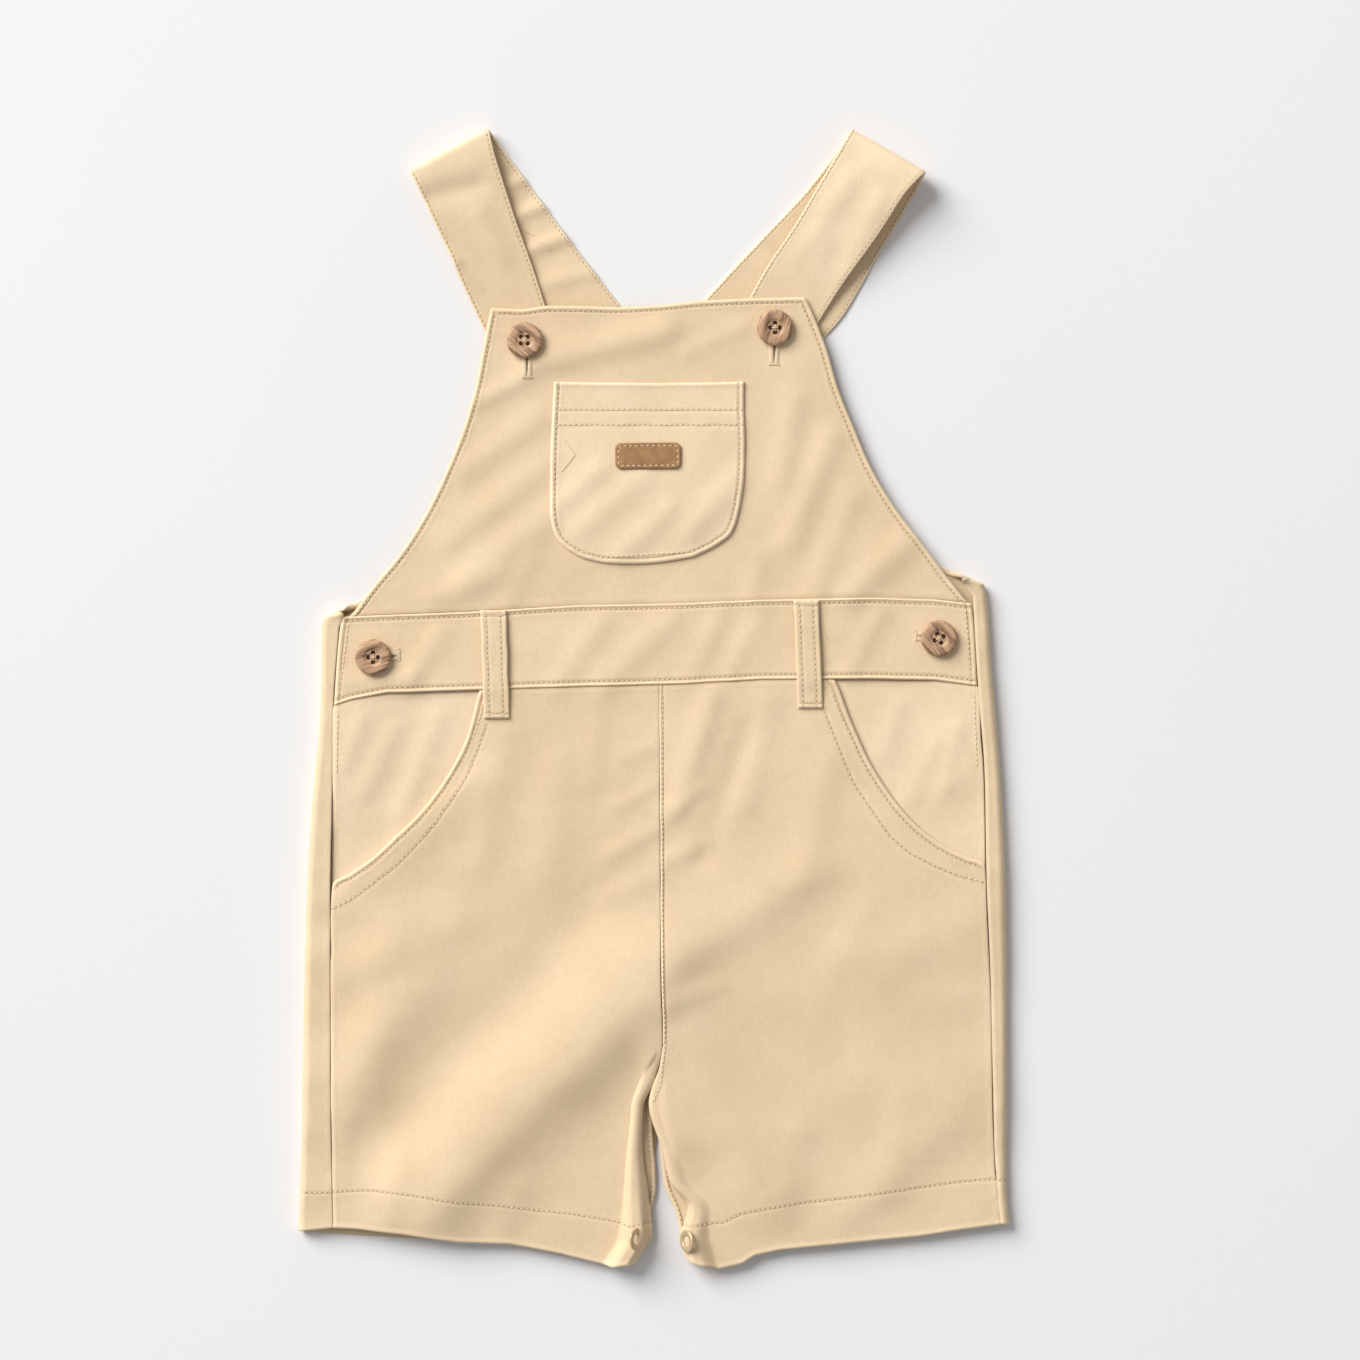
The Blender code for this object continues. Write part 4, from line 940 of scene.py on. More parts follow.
def make_leg(name, table, hem, hem_row, edge, seed):
    us, fs = spread(337, 0.62), spread(157, 0.74)
    X, Y = straight_grid(table, us, fs)
    u = us[:, None]
    # Rows run with the waist seam, with the hem's stitch row and with its fold.
    u_row = 0.925
    k = int(np.argmin(np.abs(us - u_row)))
    row_x, row_y = straight_grid(table, us[k : k + 1], fs)
    target = np.interp(row_x[0], hem_row["x"], hem_row["y"]) - row_y[0]
    Y = Y + (1 - u) ** 30 * (waist_bottom(X) - SEAM_GAP * 0.25 - Y)
    above = np.clip(u / us[k], 0, 1) ** 16
    t = np.clip((u - us[k]) / (1 - us[k]), 0, 1)
    fold = np.interp(X, hem["x"], hem["y"])
    stitch = np.interp(X, hem_row["x"], hem_row["y"])
    Y = np.where(u < us[k], Y + above * target, stitch * (1 - t) + fold * t)
    X = widened(X)
    base = eased_at(LIE["y"], LIE["z"], Y) + lift_of(FOLDS, X, Y)
    extra = lie(X, Y) - base
    first = next(k for k, w in enumerate(table["roll"]) if w)
    wide = table["roll"]
    shown = ROLL_SHOWN[edge]
    width, foot, crest, low, stand = (
        along((shown[key][0],) * first + shown[key], us)[:, None]
        for key in ("roll", "foot", "crest", "edge", "stand")
    )
    d = np.abs(X - X[:, edge][:, None])
    turned = rolled(base, d, width, crest, low, foot, stand) + extra * ease(d / 9.0)
    mixed = ease(u * (len(wide) - 1) - first + (0 if edge == -1 else 1))
    P = np.stack([X, Y, (base + extra) * (1 - mixed) + turned * mixed + SKIN], axis=-1)
    side = 0 if edge == -1 else -1
    xy = P[..., :2]
    last = 9 / (len(table["left_x"]) - 1)
    opening = xy[us <= last * 1.002][:, side]
    seam = xy[us > last * 0.998][:, side]
    centre = 12 / (len(table["left_x"]) - 1)
    hip = HIP_ROW_LEFT if edge == -1 else HIP_ROW_RIGHT
    features = [
        (opening, folded),
        (seam, plain),
        (xy[0], tucked),
        (xy[-1], hemmed),
        (xy[k], sewn),
        (xy[us <= centre][:, edge], level if edge == -1 else lipped),
        (xy[us > centre][:, edge], cut),
        (np.stack([hip["x"], hip["y"]], axis=-1), sewn),
    ]
    dressed(name, P, features, twill, seed)


def make_bib():
    us, fs = spread(181, 0.7), spread(201, 0.8)
    X, Y = straight_grid(BIB, us, fs)
    u = us[:, None]
    Y = Y + (1 - u) ** 26 * (np.interp(X, BIB_TOP["x"], BIB_TOP["y"]) - Y)
    Y = Y + u**40 * (waist_top(X) + SEAM_GAP * 0.25 - Y)
    P = on_lie(X, Y)
    xy = P[..., :2]
    edge = np.concatenate([xy[::-1, 0], xy[0], xy[:, -1]])
    dressed("twill_bib", P, [(edge, folded), (xy[-1], tucked)], twill, 31)


def make_waistband():
    stations, deep = 321, 61
    v = spread(deep, 0.82)
    t = np.linspace(0, 1, stations)
    t = t - 0.5 * np.sin(math.tau * t) / math.tau * 0.9
    rows = []
    for f in v:
        x0, x1 = (
            a + (b - a) * math.sqrt(f)
            for a, b in zip(WAIST_ENDS["top"], WAIST_ENDS["bottom"])
        )
        X = x0 + (x1 - x0) * t
        Y = waist_top(X) + (waist_bottom(X) - waist_top(X)) * f
        rows.append(np.stack([X, Y], axis=-1))
    XY = np.array(rows)
    P = on_lie(XY[..., 0], XY[..., 1])
    xy = P[..., :2]
    features = [
        (xy[0], piped), (xy[-1], piped), (xy[:, 0], folded), (xy[:, -1], folded),
    ]
    dressed("twill_waistband", P, features, twill_cross, 32, base=WALL + 0.06)


def make_facings():
    for name, table, side, seed in (
        ("twill_facing_left", FACING_LEFT, 1, 33),
        ("twill_facing_right", FACING_RIGHT, -1, 34),
    ):
        wide = dict(table)
        edge = "right_x" if side > 0 else "left_x"
        wide[edge] = [x + side * FACING_UNDER for x in table[edge]]
        for column in ("left_y", "right_y"):
            wide[column] = table[column][:-1] + (table[column][-1] - FACING_UNDER,)
        us, fs = spread(101, 0.5), spread(81, 0.5)
        X, Y = straight_grid(wide, us, fs)
        u = us[:, None]
        Y = Y + (1 - u) ** 4 * (waist_bottom(X) - SEAM_GAP * 0.25 - Y)
        X = widened(X, 0.45)
        P = on_lie(X, Y)
        f = fs if side > 0 else 1 - fs
        dip = np.maximum(ease(f / 0.55) + 0 * u, ease((u - 0.45) / 0.4) + 0 * f)
        P[..., 2] -= FACING_DROP * 1.06 * dip
        xy = P[..., :2]
        features = [
            (xy[0], tucked),
            (xy[:, 0 if side > 0 else -1], plain),
            (xy[:, -1 if side > 0 else 0], cut),
            (xy[-1], cut),
        ]
        # Painted highlight: the facing takes the lighter twill copy.
        dressed(name, P, features, twill_painted_lit, seed)


def make_patch_pocket():
    us, fs = spread(121, 0.6), spread(113, 0.8)
    X, Y = straight_grid(BIB_POCKET, us, fs)
    dome = 0.5 * np.sin(math.pi * us)[:, None] * np.sin(math.pi * fs) ** 0.7
    sag = -0.55 * (1 - us[:, None]) ** 18 * np.sin(math.pi * fs)
    sag = sag - 1.5 * us[:, None] ** 9 * np.sin(math.pi * fs)
    P = on_lie(X, Y + sag, CLOTH + 0.12 + dome)
    xy = P[..., :2]
    bowl = np.concatenate([xy[:, 0], xy[-1], xy[::-1, -1]])
    rows = [
        (np.array([(-60.0, y), (60.0, y)]), sewn) for y in POCKET_ROWS
    ]
    # Painted highlight: the pocket takes the lighter twill copy.
    dressed("twill_patch_pocket", P, [(bowl, folded), (xy[0], hemmed)] + rows, twill_painted_lit, 35)


def make_loops():
    for seed, (name, loop) in enumerate(LOOPS.items(), 41):
        (tx, ty), (fx, fy) = loop["top"], loop["foot"]
        us, fs = spread(81, 0.5), spread(31, 0.75)
        u = us[:, None]
        half = loop["width"] / 2 * (1 + 0.02 * waves(us * 45, us * 3, seed, 14))[:, None]
        X = tx + (fx - tx) * u + half * (2 * fs - 1)
        Y = ty + (fy - ty) * u + 0 * fs
        # Over the band's two thick edges, then down onto the leg.
        stand = np.interp(us, (0, 0.05, 0.25, 0.6, 0.74, 0.86, 1), (1.72, 1.78, 2.3, 2.35, 2.15, 1.5, 1.18))
        P = np.stack([X, Y, lie(X, Y) + stand[:, None] + 0 * X], axis=-1)
        xy = P[..., :2]
        features = [
            (xy[:, 0], cut), (xy[:, -1], cut), (xy[0], cut), (xy[-1], cut),
            (xy[:, 0] + (2.4, 0), sewn), (xy[:, -1] - (2.4, 0), sewn),
            (xy[0] - (0, 2.2), sewn), (xy[-1] + (0, 2.2), sewn),
        ]
        dressed(f"twill_{name}", P, features, twill, seed, base=0.95)


def make_bands():
    for name, table, seed in (
        ("twill_snap_band_left", BAND_LEFT, 51),
        ("twill_snap_band_right", BAND_RIGHT, 52),
    ):
        us, fs = spread(91, 0.3), spread(29, 0.7)
        X, Y = straight_grid(table, us, fs)
        count = len(table["z"]) - 1
        z = eased_at([k / count for k in range(count + 1)], table["z"], us)
        bow = 0.5 * np.sin(math.pi * fs) ** 2
        P = np.stack([X, Y, z[:, None] + 0.05 + bow + 0.12 * waves(X, Y, seed, 13)], axis=-1)
        xy = P[..., :2]
        features = [(xy[:, 0], folded), (xy[:, -1], folded), (xy[0], cut), (xy[-1], cut)]
        dressed(name, P, features, twill, seed)


STRAP_LEAN = {"strap_left": 0.8, "strap_right": 3.0}  # rise of the right edge in front


def make_straps():
    """One strip: in front, over its fold and behind, sewn along both edges."""
    for name, table, front_creases, back_creases, seed in (
        ("strap_left", STRAP_LEFT, STRAP_CREASES_LEFT, BEHIND_CREASES_LEFT, 61),
        ("strap_right", STRAP_RIGHT, STRAP_CREASES_RIGHT, BEHIND_CREASES_RIGHT, 62),
    ):
        rows = len(table["z"]) - 1
        fold = 7 / rows
        us = np.interp(np.linspace(0, 1, 265), (0, 0.38, 0.66, 1), (0, 0.50, 0.66, 1))
        fs = spread(49, 0.8)
        X, Y = straight_grid(table, us, fs)
        z = np.maximum(1.0, along(table["z"], us))[:, None] + 0 * X
        lean = ease((us - 0.12) / 0.22) * (1 - ease((us - fold + 0.02) / 0.05))
        z = z + STRAP_LEAN[name] * lean[:, None] * fs
        u = us[:, None]
        front = 1 - ease((u - fold + 0.13) / 0.10)
        behind = ease((u - fold - 0.05) / 0.08) * ease((0.93 - u) / 0.12)
        z = z + front * ease((u - 0.14) / 0.1) * (
            lift_of(front_creases, X, Y) + 0.14 * waves(X, Y, seed, 19)
        )
        z = z + behind * np.maximum(
            0.0, lift_of(back_creases, X, Y) + 0.10 + 0.12 * waves(X, Y, seed + 5, 15)
        )
        # Turned end for end, so that the outside faces up in front.
        P, us = np.stack([X, Y, z], axis=-1)[::-1], us[::-1]
        n = normals(P)
        across = np.linalg.norm(P[:, -1] - P[:, 0], axis=-1)[:, None] * fs
        d = np.minimum(across, across[:, -1:] - across)
        pucker = 0.7 * waves(us[:, None] * 205, d, seed + 9, 5.0)
        edge = (
            -0.30 * np.exp(-((d / 0.3) ** 2))
            + 0.10 * np.exp(-(((d - 0.6) / 0.4) ** 2))
            - (0.13 + 0.05 * pucker) * np.exp(-(((d - 1.15) / 0.4) ** 2))
            + (0.05 + 0.05 * pucker) * np.exp(-(((d - 2.2) / 0.8) ** 2))
        )
        outer = P + n * (0.92 + edge)[..., None]
        inner = P - n * (0.03 + 0.8 * edge)[..., None]
        outer[..., 2] = np.maximum(outer[..., 2], 0.02)
        # Painted light on the straps: highlight along both edges and shade at the stitch rows. On the right strap a
        # painted highlight covers the front run, standing in for the light it catches.
        front = 0.8 * ease((us - 0.1) / 0.1) * (1 - ease((us - fold + 0.02) / 0.05))
        tone = 1.1 * bell(d, 0.4, 0.5) - 0.6 * bell(d, 1.15, 0.35)
        if name == "strap_right":
            tone = tone + front[:, None]
        shell(f"twill_{name}", inner, outer, twill_cross, coarse=False, both=True, tone=tone)
        parts[f"twill_{name}"]["grid"] = (inner, outer, us, across)


def make_backs():
    for name, table, side, seed in (
        ("back_left", BACK_LEFT, -1, 71),
        ("back_right", BACK_RIGHT, 1, 72),
    ):
        columns = list(zip(*[row[:4] for row in table]))
        seams = [row[4:] for row in table if row[4] is not None]
        seam_x, seam_y = zip(*seams)
        last = len(table) - 1
        first = len(table) - len(seams)
        places = np.unique(
            np.concatenate(
                [
                    np.linspace(0, first - 1, 41),
                    np.linspace(first - 1, first, 25),
                    np.linspace(first, last, 175),
                ]
            )
        )
        if len(places) % 2 == 0:
            places = np.delete(places, 3)
        rows = []
        flat, turn = 15, 42
        for place in places:
            cx, cy, ox, oy = (along_one(column, place / last) for column in columns)
            turned = float(ease(place - first + 1))
            v = max(0.0, place - first) / (last - first)
            sx, sy = along_one(seam_x, v) - side * 0.16, along_one(seam_y, v)
            radius = 0.5 * (float(lie(sx, sy)) + CLOTH)
            reach = abs(ox - side * radius - sx)
            if place < first:
                reach, sy = EDGE_REACH, oy
            reach = radius * math.pi * turned + max(
                1.0, reach * abs(math.cos(math.pi * turned))
            )
            start = ox - side * (reach * (1 - turned) + radius * turned)
            row = [
                (cx + (start - cx) * k / flat, cy + (oy - cy) * k / flat, 0.0)
                for k in range(flat + 1)
            ]
            end = math.pi * turned
            for k in range(1, turn + 1):
                s = reach * k / turn
                angle = min(s / max(radius, 0.1), end)
                past = s - angle * radius
                row.append(
                    (
                        start + side * (radius * math.sin(angle) + past * math.cos(angle)),
                        oy + (sy - oy) * k / turn,
                        radius * (1 - math.cos(angle)) + past * math.sin(angle),
                    )
                )
            rows.append(row if side < 0 else row[::-1])
        outer = np.array(rows)
        # The strip over the side fold has its own small cross creases.
        x, y = outer[..., 0], outer[..., 1]
        up = ease((outer[..., 2] - 1.0) / 2.0)
        cross = 0.34 * waves(x * 0.35, y, seed, 24) + 0.16 * waves(x * 0.5, y, seed + 3, 11)
        outer[..., 2] += up * cross * 0.6
        n = normals(outer)
        steps = np.linalg.norm(np.diff(outer, axis=1), axis=-1)
        run = np.concatenate([0 * steps[:, :1], np.cumsum(steps, axis=1)], axis=1)
        d = run[:, -1:] - run if side < 0 else run
        pucker = 0.7 * waves(x, y, seed + 7, 5.0)
        row_y = -205.5 if side < 0 else -200.5
        profile = plain(d, pucker) + sewn(np.abs(y - row_y), pucker)
        hem = distance(outer, outer[-1, :, :2])
        profile = profile + hemmed(hem, pucker) * 0.6
        # Painted light on the strip over the side fold: highlight on the seam and hem edges (partly wear) and painted
        # shade in the seam and the hem's stitch row.
        tone = (TONES[plain](d) + TONES[sewn](np.abs(y - row_y)) + TONES[hemmed](hem)) * up
        inner = outer - n * 0.84
        outer = outer + n * (profile * up)[..., None]
        shell(f"twill_{name}", inner, outer, twill, tone=tone)


# ------------------------------------------------------------------ stitches
trees = {}


def tree(name):
    if name not in trees:
        grid, turned = surfaces[name]
        trees[name] = BVHTree.FromPolygons(
            grid.reshape(-1, 3).tolist(), quads(*grid.shape[:2])
        )
    return trees[name]


def drop(x, y, names):
    """Highest point of the named cloth at (x, y), with the way it faces."""
    best = None
    for name in names:
        hit, face, _, _ = tree(name).ray_cast(Vector((x, y, 90)), Vector((0, 0, -1)))
        if hit is not None and (best is None or hit.z > best[0].z):
            best = (hit, face if face.z > 0 else -face)
    return best


def resample(line, places):
    line = np.asarray(line, float)
    run = np.concatenate([[0], np.cumsum(np.linalg.norm(np.diff(line, axis=0), axis=1))])
    return np.stack([np.interp(places, run, line[:, k]) for k in range(line.shape[1])], -1)


def reach_of(line):
    return float(np.linalg.norm(np.diff(np.asarray(line, float), axis=0), axis=1).sum())


def beside(line, gap):
    """The line moved sideways, to the right of its way for a negative gap."""
    line = np.asarray(line, float)[:, :2]
    t = np.gradient(line, axis=0)
    t /= np.maximum(np.linalg.norm(t, axis=1, keepdims=True), 1e-9)
    return line + gap * np.stack([-t[:, 1], t[:, 0]], axis=-1)


class Bundle:
    """Many small tubes that become one mesh."""

    def __init__(self):
        self.points, self.faces, self.count = [], [], 0

    def tube(self, path, up, radii, sides=6):
        path, up = np.asarray(path, float), np.asarray(up, float)
        t = np.gradient(path, axis=0)
        t /= np.maximum(np.linalg.norm(t, axis=1, keepdims=True), 1e-9)
        across = np.cross(t, up)
        across /= np.maximum(np.linalg.norm(across, axis=1, keepdims=True), 1e-9)
        up = np.cross(across, t)
        angles = math.tau * np.arange(sides) / sides
        r = np.asarray(radii, float)[:, None, None]
        rings = path[:, None] + r * (
            np.cos(angles)[None, :, None] * across[:, None]
            + np.sin(angles)[None, :, None] * up[:, None]
        )
        count, at = len(path), self.count
        self.points.append(rings.reshape(-1, 3))
        for i in range(count - 1):
            for j in range(sides):
                a, b = at + i * sides + j, at + i * sides + (j + 1) % sides
                self.faces.append((a, b, b + sides, a + sides))
        self.faces.append(tuple(at + j for j in reversed(range(sides))))
        self.faces.append(tuple(at + (count - 1) * sides + j for j in range(sides)))
        self.count += count * sides

    def stitch(self, path, up, radius=THREAD_R):
        rise = np.array((-0.13, 0.05, 0.10, 0.05, -0.13)) * radius / THREAD_R
        path = np.asarray(path, float) + np.asarray(up, float) * rise[:, None]
        self.tube(path, up, np.array((0.55, 1, 1.05, 1, 0.55)) * radius)

    def build(self, name, finish):
        return mesh_object(name, np.concatenate(self.points), self.faces, finish)


bundles = {}
SPAN = np.array((-0.5, -0.27, 0.0, 0.27, 0.5))


def paint_hole_shade(spot, up, way, gap):
    """The needle's hole between two stitches, pulled down into the cloth: a short dark tube, painted shade for the
    hole.
    """
    way = way / max(np.linalg.norm(way), 1e-9)
    path = spot + way * np.array((0.02, 0.5, 0.98))[:, None] * max(gap, 0.35) + up * 0.0
    bundles.setdefault("needle_hole_shade", Bundle()).tube(
        path, np.array([up, up, up]), (0.07, 0.17, 0.07), sides=6
    )


def sew(bundle, line, names, pitch=STITCH_PITCH, length=STITCH_LENGTH, radius=THREAD_R, seed=1, holes=True):
    """Stitches along a line in plan, dropped onto the named cloth."""
    made = bundles.setdefault(bundle, Bundle())
    rng = np.random.default_rng(seed)
    total = reach_of(line)
    count = max(1, int(total / pitch))
    for k in range(count):
        middle = (k + 0.5) * total / count + rng.uniform(-0.06, 0.06)
        spots = resample(line, middle + SPAN * length)
        hits = [drop(x, y, names) for x, y in spots]
        if any(hit is None for hit in hits):
            continue
        path = np.array([hit[0] for hit in hits])
        if np.ptp(path[:, 2]) > 1.6 * length:
            continue
        up = np.array([hit[1] for hit in hits])
        made.stitch(path, up, radius)
        if holes:
            paint_hole_shade(path[-1], up[-1], path[-1] - path[-2], pitch - length)


def bar(bundle, a, b, width, names, pitch=0.36, radius=0.17, seed=3, lift=0.0):
    """Threads laid side by side across the line from a to b: a bartack or one side of a buttonhole."""
    made = bundles.setdefault(bundle, Bundle())
    rng = np.random.default_rng(seed)
    a, b = np.array(a, float), np.array(b, float)
    way = (b - a) / np.linalg.norm(b - a)
    side = np.array((-way[1], way[0]))
    count = max(2, int(np.linalg.norm(b - a) / pitch))
    for k in range(count + 1):
        middle = a + (b - a) * k / count
        wide = width * rng.uniform(0.9, 1.1)
        slant = way * rng.uniform(-0.08, 0.08)
        hits = [drop(*(middle + side * wide * f + slant * f), names) for f in SPAN]
        if any(hit is None for hit in hits):
            continue
        up = np.array([hit[1] for hit in hits])
        path = np.array([hit[0] for hit in hits]) + up * (0.09 + lift)
        made.stitch(path, up, radius)


def columns_of(table, side, start=0.0, end=1.0, count=90):
    us = np.linspace(start, end, count)
    return np.stack([along(table[f"{side}_x"], us), along(table[f"{side}_y"], us)], -1)


def make_stitches():
    bib, pocket = ["twill_bib"], ["twill_patch_pocket"]
    band = ["twill_waistband"]
    sew("thread_bib", beside(columns_of(BIB, "left", 0.012, 0.985), 2.25), bib, seed=1)
    sew("thread_bib", beside(columns_of(BIB, "right", 0.012, 0.985), -2.25), bib, seed=2)
    top = np.stack([BIB_TOP["x"], BIB_TOP["y"]], -1)
    top = resample(top, np.linspace(1.8, reach_of(top) - 2.2, 60))
    sew("thread_bib", beside(top, -2.25), bib, seed=3)
    left, right = columns_of(BIB_POCKET, "left"), columns_of(BIB_POCKET, "right")
    bowl = np.concatenate([left, right[::-1]])
    bowl = resample(bowl, np.linspace(0.8, reach_of(bowl) - 0.8, 180))
    sew("thread_patch_pocket", beside(bowl, 2.1), pocket, seed=4)
    for k, y in enumerate(POCKET_ROWS):
        sew("thread_patch_pocket", [(-41.0, y), (36.9, y)], pocket, pitch=2.2, length=1.65, seed=5 + k)
    xs = np.linspace(WAIST_ENDS["top"][0] + 2, WAIST_ENDS["top"][1] - 2, 80)
    sew("thread_waistband", np.stack([xs, waist_top(xs) - 2.15], -1), band, seed=8)
    xs = np.linspace(WAIST_ENDS["bottom"][0] + 2, WAIST_ENDS["bottom"][1] - 2, 80)
    sew("thread_waistband", np.stack([xs, waist_bottom(xs) + 2.15], -1), band, seed=9)
    for side, end in ((1, 0), (-1, 1)):
        t, b = WAIST_ENDS["top"][end], WAIST_ENDS["bottom"][end]
        line = [
            (t + side * 2.2, float(waist_top(t)) - 2.4),
            (b + side * 2.2, float(waist_bottom(b)) + 2.4),
        ]
        sew("thread_waistband", line, band, seed=10 + end)
    for seed, (name, loop) in enumerate(LOOPS.items(), 20):
        own, made = [f"twill_{name}"], f"thread_{name}"
        (tx, ty), (fx, fy) = loop["top"], loop["foot"]
        for side in (-1, 1):
            off = side * (loop["width"] / 2 - 2.4)
            sew(made, [(tx + off, ty - 0.6), (fx + off, fy + 0.6)], own, seed=seed)
        half = loop["width"] / 2 - 1.2
        sew(made, [(tx - half, ty - 2.3), (tx + half, ty - 2.3)], own, pitch=1.3, length=1.15, seed=seed)
        sew(made, [(fx - half, fy + 2.2), (fx + half, fy + 2.2)], own, pitch=1.3, length=1.15, seed=seed)
        bar(made, (fx - half - 0.6, fy + 0.75), (fx + half + 0.6, fy + 0.75), 0.9, own, pitch=0.5)
    legs = ["twill_leg_left", "twill_leg_right"]
    strips = ["twill_back_left", "twill_back_right"]
    for name, table, row, hem, side, inner in (
        ("thread_leg_left", LEG_LEFT, HIP_ROW_LEFT, HEM_ROW_LEFT, 1, "left"),
        ("thread_leg_right", LEG_RIGHT, HIP_ROW_RIGHT, HEM_ROW_RIGHT, -1, "right"),
    ):
        last = 9 / (len(table["left_x"]) - 1)
        opening = columns_of(table, inner, 0.012, last * 0.985)
        sew(name, beside(opening, side * 2.25), legs, seed=30)
        line = np.stack([row["x"], row["y"]], -1)
        line = resample(line, np.linspace(0, reach_of(line), 60))
        sew(name, line, legs, pitch=2.3, length=1.7, seed=31)
        line = np.stack([hem["x"], hem["y"]], -1)
        line = resample(line, np.linspace(0.3, reach_of(line) - 0.3, 90))
        sew(name, line, legs + strips, seed=32)
    line = np.stack([SEAM_ROW["x"], SEAM_ROW["y"]], -1)
    line = resample(line, np.linspace(0.6, reach_of(line), 90))
    sew("thread_leg_right", line, legs, seed=33)
    # Placket edges at the top of each side seam.
    sew("thread_facing_left", [(-131.6, -5.5), (-132.0, -30.5)], ["twill_facing_left"], seed=34)
    sew("thread_facing_right", [(133.4, 2.6), (134.6, -28.0)], ["twill_facing_right"], seed=35)
    for name, table in (("snap_band_left", BAND_LEFT), ("snap_band_right", BAND_RIGHT)):
        for side, gap in (("left", 1.6), ("right", -1.6)):
            sew(f"thread_{name}", beside(columns_of(table, side), gap), [f"twill_{name}"], seed=36)


def make_strap_stitches():
    for name in ("strap_left", "strap_right"):
        made = bundles.setdefault(f"thread_{name}", Bundle())
        inner, outer, us, across = parts[f"twill_{name}"]["grid"]
        n = normals(outer)
        wide = across[:, -1]
        for edge in (0, 1):
            for grid, way in ((outer, 1), (inner, -1)):
                # Column positions of the row, 1.15 mm in from the edge.
                place = np.clip(1.15 / wide, 0, 1) if edge == 0 else 1 - 1.15 / wide
                fs = across[0] / wide[0]
                k = np.clip(np.searchsorted(fs, place) - 1, 0, len(fs) - 2)
                t = ((place - fs[k]) / (fs[k + 1] - fs[k]))[:, None]
                i = np.arange(len(grid))
                line = grid[i, k] * (1 - t) + grid[i, k + 1] * t
                up = way * (n[i, k] * (1 - t) + n[i, k + 1] * t)
                total = reach_of(line)
                both = np.concatenate([line, up], axis=1)
                run = np.concatenate([[0], np.cumsum(np.linalg.norm(np.diff(line, axis=0), axis=1))])
                count = int(total / STITCH_PITCH)
                for c in range(count):
                    spots = (c + 0.5) * total / count + SPAN * STITCH_LENGTH
                    at = np.stack([np.interp(spots, run, both[:, q]) for q in range(6)], -1)
                    face = at[:, 3:] / np.linalg.norm(at[:, 3:], axis=1, keepdims=True)
                    if way < 0 and at[2, 2] > 3.0 and us[0] > us[-1] and np.interp(spots[2], run, us) < 0.5:
                        continue  # under the front run, where nothing shows
                    if face[2, 2] < -0.2:
                        continue  # on the side that lies on the table or underneath
                    made.stitch(at[:, :3], face)
                    paint_hole_shade(at[-1, :3], face[-1], at[-1, :3] - at[-2, :3], 0.6)


# ------------------------------------------------------------- hard pieces
def lathe_object(name, profile, steps, finish):
    """A closed solid turned about Z from (radius, height) rows in mm, as its own object."""
    points, faces = [], []
    closed_ring = profile[0][0] > 0
    rings = []
    for r, z in profile:
        if r < 1e-6:
            rings.append([len(points)])
            points.append((0.0, 0.0, z))
        else:
            rings.append(list(range(len(points), len(points) + steps)))
            points += [
                (r * math.cos(math.tau * k / steps), r * math.sin(math.tau * k / steps), z)
                for k in range(steps)
            ]
    pairs = list(zip(rings, rings[1:] + ([rings[0]] if closed_ring else [])))
    if not closed_ring:
        pairs = list(zip(rings, rings[1:]))
    for low, high in pairs:
        for k in range(steps):
            m = (k + 1) % steps
            if len(low) == 1:
                faces.append((low[0], high[m], high[k]))
            elif len(high) == 1:
                faces.append((low[k], low[m], high[0]))
            else:
                faces.append((low[k], low[m], high[m], high[k]))
    mesh = bpy.data.meshes.new(name)
    mesh.from_pydata((np.array(points) * MM).tolist(), [], faces)
    bm = bmesh.new()
    bm.from_mesh(mesh)
    bmesh.ops.recalc_face_normals(bm, faces=bm.faces)
    bm.to_mesh(mesh)
    bm.free()
    mesh.polygons.foreach_set("use_smooth", np.ones(len(mesh.polygons), bool))
    mesh.materials.append(finish)
    obj = bpy.data.objects.new(name, mesh)
    bpy.context.scene.collection.objects.link(obj)
    return obj


def stand(obj, place, face, turn):
    """Puts a turned piece on its cloth: place and face in the tables' plane."""
    face = Vector(face).normalized()
    lean = Vector((0, 0, 1)).rotation_difference(face).to_matrix().to_4x4()
    from_turn = Vector((0, 0, 0))
    obj.matrix_world = lean
    obj.rotation_mode = "QUATERNION"
    spin = Vector((math.cos(math.radians(turn)), math.sin(math.radians(turn)), 0))
    quat = Vector((0, 0, 1)).rotation_difference(face) @ Vector((1, 0, 0)).rotation_difference(spin)
    obj.location = (Vector(place) + Vector(SHIFT)) * MM
    obj.rotation_quaternion = quat


# Buttons in the fine scene: their grain's turn and the cloth under them.
BUTTON_LOOK = {
    "button_bib_left": dict(grain=-38, on="twill_bib"),
    "button_bib_right": dict(grain=74, on="twill_bib"),
    "button_side_left": dict(grain=20, on="twill_waistband"),
    "button_side_right": dict(grain=-50, on="twill_waistband"),
}


